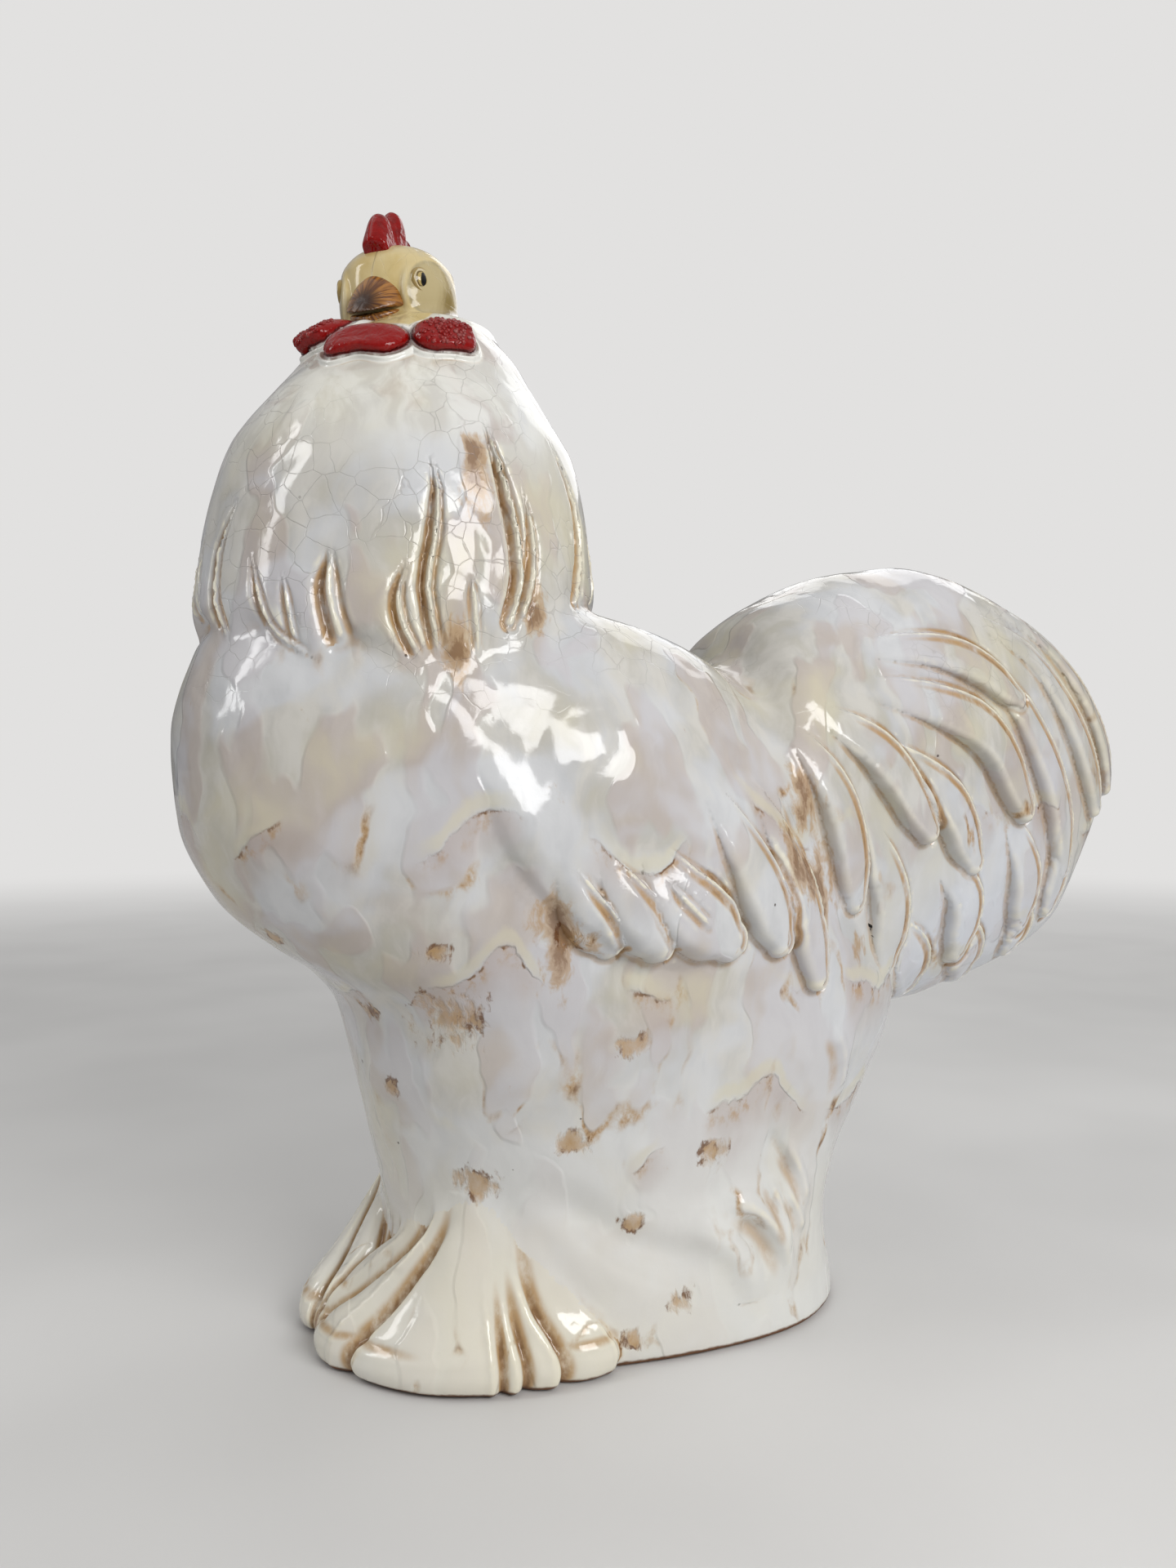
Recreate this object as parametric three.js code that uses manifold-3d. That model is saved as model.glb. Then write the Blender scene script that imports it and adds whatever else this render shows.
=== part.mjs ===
// Ceramic rooster figurine: hollow glazed clay parts, luted together.
// Millimetres, +Z up. The rooster faces -Y and its left side is +X. The origin lies on the
// ground, in the middle of the flat underside that the figure stands on.

import * as THREE from 'three';
import { mergeVertices } from 'three/addons/utils/BufferGeometryUtils.js';
import Module from 'manifold-3d';

const wasm = await Module();
wasm.setup();

// Clay
const wall = 7;
const luteGap = 0.3;
const floorThickness = 8;
const ventRadius = 3;
const ventSet = 40;
const throatRadius = 30;
const tailVentRadius = 12;

// Torso, from the ground to the crown of the back
const torsoHeight = 352;
const torsoHalfWidth = 106;
const breastReach = 197;
const rumpReach = 195;
const footRimEase = 3;

// Neck hackle
const neckLength = 165;
const neckRadius = 95;
const neckSet = 92;
const neckSink = 21;
const neckLean = 15;
const neckHollowShare = 0.8;
const hackleSway = 13;
const hackleTilt = 3;
const fluteCount = 12;
const fluteDepth = 2.2;
const scallopDrop = 3.5;

// Head and face, measured from the middle of the head
const headTurn = 46;
const headHalfWidth = 27.5;
const headAhead = 30;
const headBehind = 20;
const headSetBack = 8;
const headHeight = 47;
const headPlug = 24;
const headSideStep = 3.2;
const headLift = 7;
const cheekHalfLength = 17;
const cheekHalfHeight = 16.5;
const cheekBulge = 5;
const cheekTurn = 20;
const cheekSet = 21;
const cheekSetForward = 4;
const cheekDrop = 6;
const eyeRadius = 6.3;
const eyeBulge = 2.4;
const eyeForward = 8.5;
const eyeUp = 4.5;

// Beak
const beakLength = 20;
const beakHalfWidth = 17;
const beakSet = 10;
const mouthDrop = 18.5;
const upperBeakHeight = 25;
const lowerBeakDepth = 9.5;
const lowerBeakLength = 16;
const lowerBeakHalfWidth = 15;
const beakHook = 3;
const mouthGap = 0.4;

// Comb
const combLength = 34;
const combHeight = 26;
const combThickness = 9.5;
const combAdvance = 23;
const combFoot = 13;

// Wattles and ear lobes, a ruff round the throat
const ruffTurn = 54;
const ruffDrop = 35;
const ruffThickness = 6;
const wattleHalfTurn = 20;
const wattleHalfHeight = 10;
const lobeLeft = { halfTurn: 16, halfHeight: 13, rise: 11 };
const lobeRight = { halfTurn: 12.5, halfHeight: 10, rise: 16 };
const ruffGapTurn = 1.5;

// Tail fan
const tailInset = 135;
const tailLength = 308;
const tailLift = 40;
const tailHeight = 257;
const tailHalfWidth = 88;
const tailCrown = 7;
const featherHalfWidth = 15;
const padRoot = 4;

// Wings
const wingCrown = 7;
const shoulderCrown = 4.5;
const shoulderHalfWidth = 40;
const webCrown = 3;
const webHalfWidth = 24;

// Feet
const soleHalfWidth = 88;
const soleHalfLength = 90;
const soleSetForward = 45;
const footHeight = 82;
const instepOut = 56;
const instepForward = 68;
const footSplit = 1;
const toeCount = 11;
const toeSwell = 2.5;

// Facets
const torsoSides = 40;
const torsoLevels = 18;
const neckSides = 48;
const tailSides = 28;
const tailStations = 13;
const hollowSides = 24;
const hollowLevels = 10;
const headSides = 24;
const footSides = 44;
const padSides = 8;

// The fan grows out of the rump and rises above the back.
const tailRoot = rumpReach - tailInset;
const tailTop = torsoHeight + tailLift;
const tailBottom = tailTop - tailHeight;

const glaze = { color: 0xd9d3d6, roughness: 0.12, metalness: 0 };
const creamGlaze = { color: 0xd8cdb4, roughness: 0.12, metalness: 0 };
const bareClay = { color: 0xa07a4c, roughness: 0.85, metalness: 0 };
const faceGlaze = { color: 0xa08a50, roughness: 0.15, metalness: 0 };
const redGlaze = { color: 0xa51612, roughness: 0.15, metalness: 0 };
const beakGlaze = { color: 0x7a4418, roughness: 0.18, metalness: 0 };
const eyeGlaze = { color: 0xd8d2c0, roughness: 0.1, metalness: 0 };

// A smooth curve through [share, value] knots that never overshoots them.
function line(knots) {
  const last = knots.length - 1;
  const rate = (i) => (knots[i + 1][1] - knots[i][1]) / (knots[i + 1][0] - knots[i][0]);
  const slopes = knots.map((knot, i) => {
    if (i === 0) return rate(0);
    if (i === last) return rate(last - 1);
    const before = rate(i - 1);
    const after = rate(i);
    return before * after <= 0 ? 0 : (2 * before * after) / (before + after);
  });
  return (share) => {
    const at = THREE.MathUtils.clamp(share, knots[0][0], knots[last][0]);
    let i = 0;
    while (i < last - 1 && at > knots[i + 1][0]) i += 1;
    const span = knots[i + 1][0] - knots[i][0];
    const t = (at - knots[i][0]) / span;
    const start = knots[i][1] * (1 + 2 * t) * (1 - t) ** 2 + slopes[i] * span * t * (1 - t) ** 2;
    const end = knots[i + 1][1] * t * t * (3 - 2 * t) - slopes[i + 1] * span * t * t * (1 - t);
    return start + end;
  };
}

// One coordinate of a superellipse: a circle's sine or cosine, made fuller by the exponent.
function full(value, fullness) {
  return Math.sign(value) * Math.abs(value) ** (2 / fullness);
}

// How far a superellipse reaches one way, at a given share of its reach the other way.
function across(share, fullness) {
  return Math.max(0, 1 - Math.abs(share) ** fullness) ** (1 / fullness);
}

function ring(sides, place) {
  return Array.from({ length: sides }, (_, k) => place((k / sides) * 2 * Math.PI));
}

// Skins a row of closed sections, each with its points counterclockwise as seen from the
// last section, and closes both ends with a fan round the middle of the end section.
function loft(sections) {
  const sides = sections[0].length;
  const points = sections.flat();
  const index = [];
  for (let i = 0; i < sections.length - 1; i += 1) {
    for (let k = 0; k < sides; k += 1) {
      const here = i * sides + k;
      const next = i * sides + ((k + 1) % sides);
      index.push(here, next, here + sides, next, next + sides, here + sides);
    }
  }
  [sections[0], sections.at(-1)].forEach((section, end) => {
    const middle = section.reduce((sum, point) => sum.add(point), new THREE.Vector3());
    const hub = points.push(middle.divideScalar(sides)) - 1;
    const first = end * (sections.length - 1) * sides;
    for (let k = 0; k < sides; k += 1) {
      const here = first + k;
      const next = first + ((k + 1) % sides);
      index.push(hub, ...(end ? [here, next] : [next, here]));
    }
  });
  const geometry = new THREE.BufferGeometry().setFromPoints(points);
  geometry.setIndex(index);
  return geometry;
}

// The same sections on the rooster's right side, wound to face outwards again.
function onSide(side, sections) {
  if (side > 0) return sections;
  return sections.map((section) => section.map((point) => point.setX(-point.x)).reverse());
}

function solidOf(geometry) {
  const bare = new THREE.BufferGeometry().copy(geometry);
  bare.deleteAttribute('normal');
  bare.deleteAttribute('uv');
  const merged = mergeVertices(bare, 1e-4);
  return new wasm.Manifold(new wasm.Mesh({
    numProp: 3,
    vertProperties: new Float32Array(merged.attributes.position.array),
    triVerts: new Uint32Array(merged.index.array),
  }));
}

function geometryOf(solid) {
  const cut = solid.getMesh();
  const geometry = new THREE.BufferGeometry();
  geometry.setAttribute('position', new THREE.BufferAttribute(new Float32Array(cut.vertProperties), 3));
  geometry.setIndex(new THREE.BufferAttribute(new Uint32Array(cut.triVerts), 1));
  const flat = geometry.toNonIndexed();
  flat.computeVertexNormals();
  return flat;
}

// What is left in one piece after a cut, without the crumbs.
function largest(solid) {
  return solid.decompose().reduce((best, piece) => (piece.volume() > best.volume() ? piece : best));
}

function part(name, solid, finish) {
  const mesh = new THREE.Mesh(geometryOf(largest(solid)), new THREE.MeshStandardMaterial(finish));
  mesh.name = name;
  return mesh;
}

const rooster = new THREE.Group();

// Torso: level sections between a front line, a rear line and a width line. The shares run
// from the ground to the crown of the back.
const torsoFullness = 2.25;
const breastLine = line([[0, 0.44], [0.19, 0.5], [0.38, 0.58], [0.45, 0.61], [0.49, 0.665], [0.535, 0.775],
  [0.6, 0.9], [0.7, 0.985], [0.81, 1], [0.92, 0.95], [0.97, 0.87], [1, 0.7]]);
const rumpLine = line([[0, 0.71], [0.1, 0.7], [0.2, 0.755], [0.284, 0.846], [0.38, 0.94], [0.44, 0.965],
  [0.5, 0.92], [0.57, 0.845], [0.67, 0.73], [0.76, 0.61], [0.835, 0.51], [0.89, 0.43], [0.92, 0.355],
  [0.955, 0.2], [1, -0.12]]);
const flankLine = line([[0, 0.84], [0.1, 0.82], [0.2, 0.81], [0.3, 0.86], [0.4, 0.93], [0.52, 0.975],
  [0.7, 1], [0.855, 0.95], [0.92, 0.87], [0.97, 0.74], [1, 0.47]]);
const widestLine = line([[0, 0.26], [0.2, 0.13], [0.38, 0], [0.57, -0.08], [0.74, -0.18], [0.9, -0.28],
  [1, -0.38]]);

function torsoLevel(z) {
  const share = z / torsoHeight;
  const widest = rumpReach * widestLine(share);
  return {
    widest,
    ahead: breastReach * breastLine(share) + widest,
    behind: rumpReach * rumpLine(share) - widest,
    flank: torsoHalfWidth * flankLine(share),
  };
}

function torsoRing(z, grow, sides = torsoSides) {
  const { widest, ahead, behind, flank } = torsoLevel(Math.min(z, torsoHeight));
  return ring(sides, (turn) => new THREE.Vector3(
    (flank + grow) * full(Math.cos(turn), torsoFullness),
    widest + ((Math.sin(turn) < 0 ? ahead : behind) + grow) * full(Math.sin(turn), torsoFullness),
    z,
  ));
}

// The skin's distance from the middle plane, at a place on the torso's side.
function torsoSkin(y, z) {
  const { widest, ahead, behind, flank } = torsoLevel(z);
  return flank * across(Math.min(0.95, Math.abs(y - widest) / (y < widest ? ahead : behind)), torsoFullness);
}

// Levels crowd towards the crown, where the back turns over. The outer skin has an eased rim
// at the ground; a grown or shrunk copy runs on below it.
function torsoSolid(grow, levels, sides) {
  const foot = grow === 0
    ? [torsoRing(0, -footRimEase, sides), torsoRing(footRimEase, 0, sides)]
    : [torsoRing(0, grow, sides).map((point) => point.setZ(-wall))];
  const rest = Array.from({ length: levels }, (_, i) => {
    const z = (torsoHeight + grow) * Math.sin(((i + 1) / levels) * Math.PI / 2);
    return torsoRing(z, grow, sides);
  });
  return solidOf(loft([...foot, ...rest]));
}

function post(radius, length) {
  return new THREE.CylinderGeometry(radius, radius, length, hollowSides);
}

const torso = torsoSolid(0, torsoLevels, torsoSides);
const torsoGrown = torsoSolid(luteGap, torsoLevels, torsoSides);
const torsoHollow = torsoSolid(-wall, hollowLevels, hollowSides);
const throat = solidOf(post(throatRadius, 6 * wall).rotateX(Math.PI / 2)
  .translate(0, -neckSet, torsoHeight));
const tailPassage = solidOf(post(tailVentRadius, rumpReach)
  .translate(0, rumpReach / 2, (tailTop + tailBottom) / 2));
rooster.add(part('body_shell', torso.subtract(torsoHollow).subtract(throat).subtract(tailPassage), glaze));

// Floor slab, let into the foot of the torso with a kiln vent through it.
const slab = torsoSolid(-wall - luteGap, hollowLevels, hollowSides)
  .trimByPlane([0, 0, 1], 0)
  .trimByPlane([0, 0, -1], -floorThickness);
const vent = solidOf(post(ventRadius, 4 * floorThickness).rotateX(Math.PI / 2).translate(0, ventSet, 0));
rooster.add(part('floor_slab', slab.subtract(vent), bareClay));

// Neck hackle: a bell round an upright axis that leans back. Its lower edge hangs lower at
// the sides than at the breast and nape, and is scalloped between the flutes.
const neckFoot = torsoHeight - neckSink;
const neckLine = line([[0, 0.985], [0.127, 0.995], [0.267, 0.972], [0.406, 0.928], [0.539, 0.861],
  [0.6, 0.8], [0.667, 0.721], [0.733, 0.64], [0.812, 0.54], [0.873, 0.428], [0.897, 0.385],
  [0.921, 0.337], [0.945, 0.237], [0.976, 0.126], [1, 0.06]]);
const leanLine = line([[0, 0], [0.267, 0.01], [0.406, 0.067], [0.539, 0.167], [0.667, 0.267],
  [0.812, 0.433], [0.873, 0.633], [0.921, 0.893], [0.976, 0.97], [1, 1]]);
const neckShares = [0, 0.06, 0.13, 0.28, 0.42, 0.55, 0.66, 0.76, 0.86, 0.92, 0.96, 1];
const neckHollowShares = [0.2, 0.36, 0.5, neckHollowShare];

function neckAxis(share) {
  return -neckSet + neckLean * leanLine(share);
}

function neckSection(share, grow, fluted, sides) {
  const radius = neckRadius * neckLine(share) + grow;
  const fade = fluted * (1 - THREE.MathUtils.smoothstep(share, 0.15, 0.6));
  return ring(sides, (angle) => {
    const flute = Math.cos(angle * fluteCount) * fade;
    const r = radius + fluteDepth * flute;
    const hem = -hackleSway * Math.cos(2 * angle) + hackleTilt * Math.sin(angle) - scallopDrop * flute;
    return new THREE.Vector3(
      r * Math.cos(angle),
      r * Math.sin(angle) + neckAxis(share),
      neckFoot + neckLength * share + hem * fluted * (1 - share) ** 3,
    );
  });
}

const neckOuter = solidOf(loft(neckShares.map((share) => neckSection(share, 0, 1, neckSides))));
const neckGrown = solidOf(loft(neckShares.map((share) => neckSection(share, luteGap, 1, neckSides))));

// The hollow inside the neck starts well below its foot and stops short of the head.
const neckHollow = solidOf(loft([
  neckSection(0, -wall, 0, hollowSides).map((point) => point.setZ(neckFoot - 6 * wall)),
  ...neckHollowShares.map((share) => neckSection(share, -wall, 0, hollowSides)),
]));

// Head: level sections over a plug that sits in the top of the neck, with a cheek each side.
const turnOfHead = THREE.MathUtils.degToRad(headTurn);
const headSpot = new THREE.Matrix4().makeRotationZ(turnOfHead);
headSpot.setPosition(
  -headSideStep * Math.cos(turnOfHead),
  -neckSet - headSideStep * Math.sin(turnOfHead),
  neckFoot + neckLength + headLift,
);
const headFullness = 2.3;
const headLine = line([[0, 0.93], [0.255, 0.98], [0.49, 1], [0.64, 0.985], [0.72, 0.95], [0.81, 0.85],
  [0.87, 0.74], [0.94, 0.55], [0.98, 0.36], [1, 0.2]]);

function atHead(geometry) {
  return solidOf(geometry.applyMatrix4(headSpot));
}

function ball(radii, around = 16, above = 10) {
  return new THREE.SphereGeometry(1, around, above).rotateX(Math.PI / 2).scale(...radii);
}

// Places a shape on a cheek. It is drawn about the cheek's middle, with the cheek facing sideways.
function onCheek(geometry, side) {
  return atHead(geometry.rotateZ(-side * THREE.MathUtils.degToRad(cheekTurn))
    .translate(side * cheekSet, -cheekSetForward, -cheekDrop));
}

function headSolid(grow) {
  const sections = [0, 0.25, 0.49, 0.64, 0.74, 0.82, 0.89, 0.95, 1].map((share) => {
    const size = headLine(share);
    const z = headHeight * share - headPlug + (share === 1 ? grow : 0) - (share === 0 ? grow : 0);
    return ring(headSides, (angle) => new THREE.Vector3(
      (headHalfWidth * size + grow) * full(Math.cos(angle), headFullness),
      headSetBack + ((Math.sin(angle) < 0 ? headAhead : headBehind) * size + grow)
        * full(Math.sin(angle), headFullness),
      z,
    ));
  });
  const cheekRadii = [cheekBulge + grow, cheekHalfLength + grow, cheekHalfHeight + grow];
  const cheeks = [-1, 1].map((side) => onCheek(ball(cheekRadii), side));
  return atHead(loft(sections)).add(cheeks[0]).add(cheeks[1]);
}

const head = headSolid(0);
const headGrown = headSolid(luteGap);
rooster.add(part('head', head, faceGlaze));

// Beak: an upper and a lower half that meet at the mouth line, the upper one longer and hooked.
const upperBeak = { height: upperBeakHeight, length: beakLength, halfWidth: beakHalfWidth };
const lowerBeak = { height: -lowerBeakDepth, length: lowerBeakLength, halfWidth: lowerBeakHalfWidth };

function beakHalf({ height, length, halfWidth }, grow) {
  const up = Math.sign(height);
  const sections = [0, 0.3, 0.55, 0.75, 0.9, 1].map((share) => {
    const taper = across(share * 0.985, 2.1);
    const mouth = -mouthDrop - beakHook * share ** 2 + up * (mouthGap / 2 - grow);
    return Array.from({ length: 12 }, (_, k) => {
      const angle = (k / 11) * Math.PI;
      return new THREE.Vector3(
        up * (halfWidth + grow) * taper * Math.cos(angle),
        -beakSet - (length + grow) * share,
        mouth + (height + 2 * up * grow) * taper * Math.sin(angle) ** 0.8,
      );
    });
  });
  return atHead(loft(sections));
}

const beakUpper = beakHalf(upperBeak, 0);
rooster.add(part('beak_upper', beakUpper.subtract(headGrown), beakGlaze));
rooster.add(part('beak_lower', beakHalf(lowerBeak, 0).subtract(headGrown).subtract(beakUpper), beakGlaze));

// The neck makes room for the head and the beak that sit in its top.
const faceGrown = headGrown
  .add(beakHalf(upperBeak, luteGap))
  .add(beakHalf(lowerBeak, luteGap));
rooster.add(part('neck_hackle',
  neckOuter.subtract(neckHollow).subtract(torsoGrown).subtract(faceGrown), glaze));

// Eyes: low domes set square on the cheeks.
const eyeOut = cheekBulge
  * Math.sqrt(1 - (eyeForward / cheekHalfLength) ** 2 - (eyeUp / cheekHalfHeight) ** 2);
[-1, 1].forEach((side) => {
  const eye = ball([eyeBulge, eyeRadius, eyeRadius], 14, 10).translate(side * eyeOut, -eyeForward, eyeUp);
  rooster.add(part(side > 0 ? 'eye_left' : 'eye_right', onCheek(eye, side).subtract(headGrown), eyeGlaze));
});

// Comb: a thick fin with three lobes, the middle one the highest.
const combOutline = new THREE.Shape();
combOutline.moveTo(0, 0);
combOutline.bezierCurveTo(0, 0.4 * combHeight, 0.08 * combLength, 0.75 * combHeight,
  0.22 * combLength, 0.75 * combHeight);
combOutline.bezierCurveTo(0.32 * combLength, 0.75 * combHeight, 0.34 * combLength, 0.64 * combHeight,
  0.38 * combLength, 0.62 * combHeight);
combOutline.bezierCurveTo(0.42 * combLength, 0.8 * combHeight, 0.48 * combLength, combHeight,
  0.57 * combLength, combHeight);
combOutline.bezierCurveTo(0.67 * combLength, combHeight, 0.72 * combLength, 0.75 * combHeight,
  0.76 * combLength, 0.58 * combHeight);
combOutline.bezierCurveTo(0.8 * combLength, 0.66 * combHeight, 0.84 * combLength, 0.68 * combHeight,
  0.88 * combLength, 0.64 * combHeight);
combOutline.bezierCurveTo(0.96 * combLength, 0.55 * combHeight, combLength, 0.3 * combHeight, combLength, 0);
const combRim = combOutline.getPoints(4).reverse();
const combBlade = loft([[-0.5, 0.84], [-0.3, 1], [0.3, 1], [0.5, 0.84]].map(([aside, size]) => combRim
  .map((point) => new THREE.Vector3(
    aside * combThickness,
    (point.x - combLength / 2) * size + combLength / 2 - combAdvance,
    combFoot + point.y * size,
  ))));
rooster.add(part('comb', atHead(combBlade).subtract(headGrown), redGlaze));

// Wattles and ear lobes: pads that lie on the throat, side by side round the neck's axis.
function ruffPad(middleTurn, halfTurn, halfHeight, rise, dip) {
  const middleLevel = neckFoot + neckLength - ruffDrop + rise;
  return solidOf(loft(Array.from({ length: 9 }, (_, i) => {
    const share = i / 4 - 1;
    const angle = THREE.MathUtils.degToRad(middleTurn + share * halfTurn - 90);
    const size = across(share * 0.97, 2.6);
    const half = halfHeight * size * (1 - 0.12 * dip * (Math.cos(share * Math.PI * 2) + 0.2));
    return ring(12, (turn) => {
      const level = middleLevel + half * Math.cos(turn);
      const neckShare = (level - neckFoot) / neckLength;
      const radius = neckRadius * neckLine(neckShare) + ruffThickness * size * Math.sin(turn);
      return new THREE.Vector3(
        radius * Math.cos(angle),
        radius * Math.sin(angle) + neckAxis(neckShare),
        level,
      );
    });
  })));
}

const throatWork = neckGrown.add(faceGrown);
rooster.add(part('wattle_front',
  ruffPad(ruffTurn, wattleHalfTurn, wattleHalfHeight, 0, 1).subtract(throatWork), redGlaze));
[lobeRight, lobeLeft].forEach(({ halfTurn, halfHeight, rise }, left) => {
  const middle = ruffTurn + (left ? 1 : -1) * (wattleHalfTurn + ruffGapTurn + halfTurn);
  const lobe = ruffPad(middle, halfTurn, halfHeight, rise, 0).subtract(throatWork);
  rooster.add(part(left ? 'earlobe_left' : 'earlobe_right', lobe, redGlaze));
});

// Raised feather pads: each follows a path over a skin, swells to a crown and ends round.
const padWidthLine = line([[0, 0.2], [0.3, 0.7], [0.65, 1], [0.86, 0.88], [0.95, 0.6], [1, 0.15]]);
const padCrownLine = line([[0, 0.15], [0.3, 0.7], [0.65, 1], [0.9, 0.85], [1, 0.3]]);

function feather({ skin, path, halfWidth, crown, side, grow = 0, sides = padSides }) {
  const curve = new THREE.SplineCurve(path);
  const sections = [0, 0.18, 0.42, 0.66, 0.84, 0.95, 1].map((share) => {
    const at = curve.getPoint(share);
    const along = curve.getTangent(share);
    const half = halfWidth * padWidthLine(share) + grow;
    const lift = crown * padCrownLine(share) + grow;
    const end = share === 1 ? grow : 0;
    return ring(sides, (turn) => {
      const y = at.x + along.x * end - along.y * half * Math.cos(turn);
      const z = at.y + along.y * end + along.x * half * Math.cos(turn);
      const rise = Math.sin(turn) * (Math.sin(turn) > 0 ? lift : padRoot);
      return new THREE.Vector3(skin(y, z) + rise, y, z);
    });
  });
  return solidOf(loft(onSide(side, sections)));
}

// Tail: upright sections from the rump to the rim, under an upper and over a lower line.
const tailFullness = 2.3;
const tailUpperLine = line([[0, 0.71], [0.045, 0.74], [0.115, 0.845], [0.18, 0.9], [0.3, 0.965],
  [0.38, 0.985], [0.48, 1], [0.564, 0.99], [0.651, 0.965], [0.723, 0.935], [0.811, 0.88], [0.87, 0.825],
  [0.915, 0.763], [0.954, 0.704], [0.985, 0.64], [1, 0.58]]);
const tailLowerLine = line([[0, 0.06], [0.3, 0.005], [0.466, 0.01], [0.59, 0.04], [0.74, 0.09],
  [0.824, 0.145], [0.86, 0.2], [0.9, 0.28], [0.93, 0.342], [0.958, 0.4], [0.985, 0.46], [1, 0.51]]);
const tailWidthLine = line([[0, 1], [0.13, 0.955], [0.29, 0.86], [0.45, 0.76], [0.62, 0.64], [0.78, 0.53],
  [0.9, 0.42], [0.965, 0.29], [1, 0.12]]);

function tailStation(share) {
  const upper = tailBottom + tailHeight * tailUpperLine(share);
  const lower = tailBottom + tailHeight * tailLowerLine(share);
  return {
    middle: (upper + lower) / 2,
    halfHeight: (upper - lower) / 2,
    halfWidth: tailHalfWidth * tailWidthLine(share),
  };
}

function tailSkin(y, z) {
  const { middle, halfHeight, halfWidth } = tailStation((y - tailRoot) / tailLength);
  return halfWidth * across(Math.min(0.97, Math.abs(z - middle) / halfHeight), tailFullness);
}

function tailSolid(grow, stations, sides) {
  const sections = [];
  for (let i = 0; i <= stations; i += 1) {
    const share = Math.sin((i / stations) * Math.PI / 2);
    const { middle, halfHeight, halfWidth } = tailStation(share);
    const y = tailRoot + tailLength * share + (i === stations ? grow : 0);
    sections.push(ring(sides, (angle) => new THREE.Vector3(
      (halfWidth + grow) * full(Math.sin(angle), tailFullness),
      y,
      middle + (halfHeight + grow) * full(Math.cos(angle), tailFullness),
    )));
  }
  return solidOf(loft(sections));
}

const tailOuter = tailSolid(0, tailStations, tailSides);
const tailGrown = tailSolid(luteGap, tailStations, tailSides);
const tailHollow = tailSolid(-wall, 7, 16);
rooster.add(part('tail_shell', tailOuter.subtract(tailHollow).subtract(torsoGrown), glaze));

// Tail feathers, the ones on top first. Each path is in shares of the fan's length and height,
// and each half width a share of the widest feather's.
const tailFeathers = [
  { name: 'covert_upper', path: [[0.14, 0.64], [0.26, 0.557], [0.361, 0.417]], half: 0.93 },
  { name: 'covert_front', path: [[0.085, 0.595], [0.163, 0.447], [0.199, 0.28]], half: 0.8 },
  { name: 'sickle_middle', path: [[0.228, 0.708], [0.43, 0.661], [0.625, 0.451]], half: 1 },
  { name: 'sickle_upper', path: [[0.221, 0.79], [0.423, 0.805], [0.619, 0.7]], half: 0.8 },
  { name: 'covert_middle', path: [[0.287, 0.576], [0.417, 0.471], [0.495, 0.339]], half: 0.93 },
  { name: 'sickle_rear', path: [[0.44, 0.79], [0.658, 0.626], [0.769, 0.339]], half: 0.93 },
  { name: 'sickle_outer', path: [[0.52, 0.895], [0.733, 0.77], [0.88, 0.494]], half: 0.8 },
  { name: 'covert_rear', path: [[0.602, 0.436], [0.671, 0.3], [0.684, 0.175]], half: 0.87 },
  { name: 'covert_lower', path: [[0.41, 0.339], [0.489, 0.261], [0.498, 0.144]], half: 1 },
  { name: 'covert_lowest', path: [[0.231, 0.42], [0.3, 0.268], [0.345, 0.128]], half: 0.93 },
];

[1, -1].forEach((side) => {
  let above = torsoGrown.add(tailGrown);
  tailFeathers.forEach(({ name, path, half }) => {
    const shape = {
      skin: tailSkin,
      path: path.map(([u, w]) => new THREE.Vector2(tailRoot + tailLength * u, tailBottom + tailHeight * w)),
      halfWidth: featherHalfWidth * half,
      crown: tailCrown,
      side,
    };
    const pad = feather(shape).subtract(above);
    rooster.add(part(`${name}_${side > 0 ? 'left' : 'right'}`, pad, glaze));
    above = above.add(feather({ ...shape, grow: luteGap }));
  });
});

// Folded wings: a shoulder and five feather ends, joined, over the flank. Paths are in shares
// of the rump's reach and the torso's height.
const wingFeathers = [
  { path: [[-0.26, 0.7], [-0.18, 0.61], [-0.14, 0.53]], half: 0.73 },
  { path: [[-0.2, 0.68], [-0.1, 0.59], [-0.035, 0.52]], half: 0.8 },
  { path: [[-0.08, 0.69], [0.06, 0.605], [0.195, 0.525]], half: 1 },
  { path: [[0.05, 0.72], [0.215, 0.63], [0.31, 0.51]], half: 0.93 },
  { path: [[0.23, 0.74], [0.39, 0.61], [0.46, 0.45]], half: 1 },
];
const shoulder = {
  path: [[-0.4, 0.77], [-0.08, 0.74], [0.3, 0.6]],
  half: shoulderHalfWidth / featherHalfWidth,
};

// The skin of the wing that shows between the feathers.
const web = {
  path: [[-0.26, 0.66], [0.04, 0.63], [0.38, 0.58]],
  half: webHalfWidth / featherHalfWidth,
};

[1, -1].forEach((side) => {
  const shape = ({ path, half }, crown, sides) => feather({
    skin: torsoSkin,
    path: path.map(([u, w]) => new THREE.Vector2(rumpReach * u, torsoHeight * w)),
    halfWidth: featherHalfWidth * half,
    crown,
    side,
    sides,
  });
  const wing = wingFeathers.reduce(
    (joined, blade) => joined.add(shape(blade, wingCrown, padSides)),
    shape(shoulder, shoulderCrown, 12).add(shape(web, webCrown, padSides)),
  );
  const clear = wing.subtract(torsoGrown).subtract(tailGrown);
  rooster.add(part(side > 0 ? 'wing_left' : 'wing_right', clear, glaze));
});

// Feet: each is half of one round sole, drawn up to the instep, with toes round its rim.
const footLine = line([[0, 0.97], [0.05, 1], [0.17, 0.99], [0.24, 0.9], [0.36, 0.73], [0.5, 0.56],
  [0.7, 0.38], [0.86, 0.25], [1, 0.12]]);

const footShares = [0, 0.05, 0.11, 0.17, 0.24, 0.36, 0.52, 0.7, 0.86, 1];
const soleFullness = 2.2;

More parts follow.
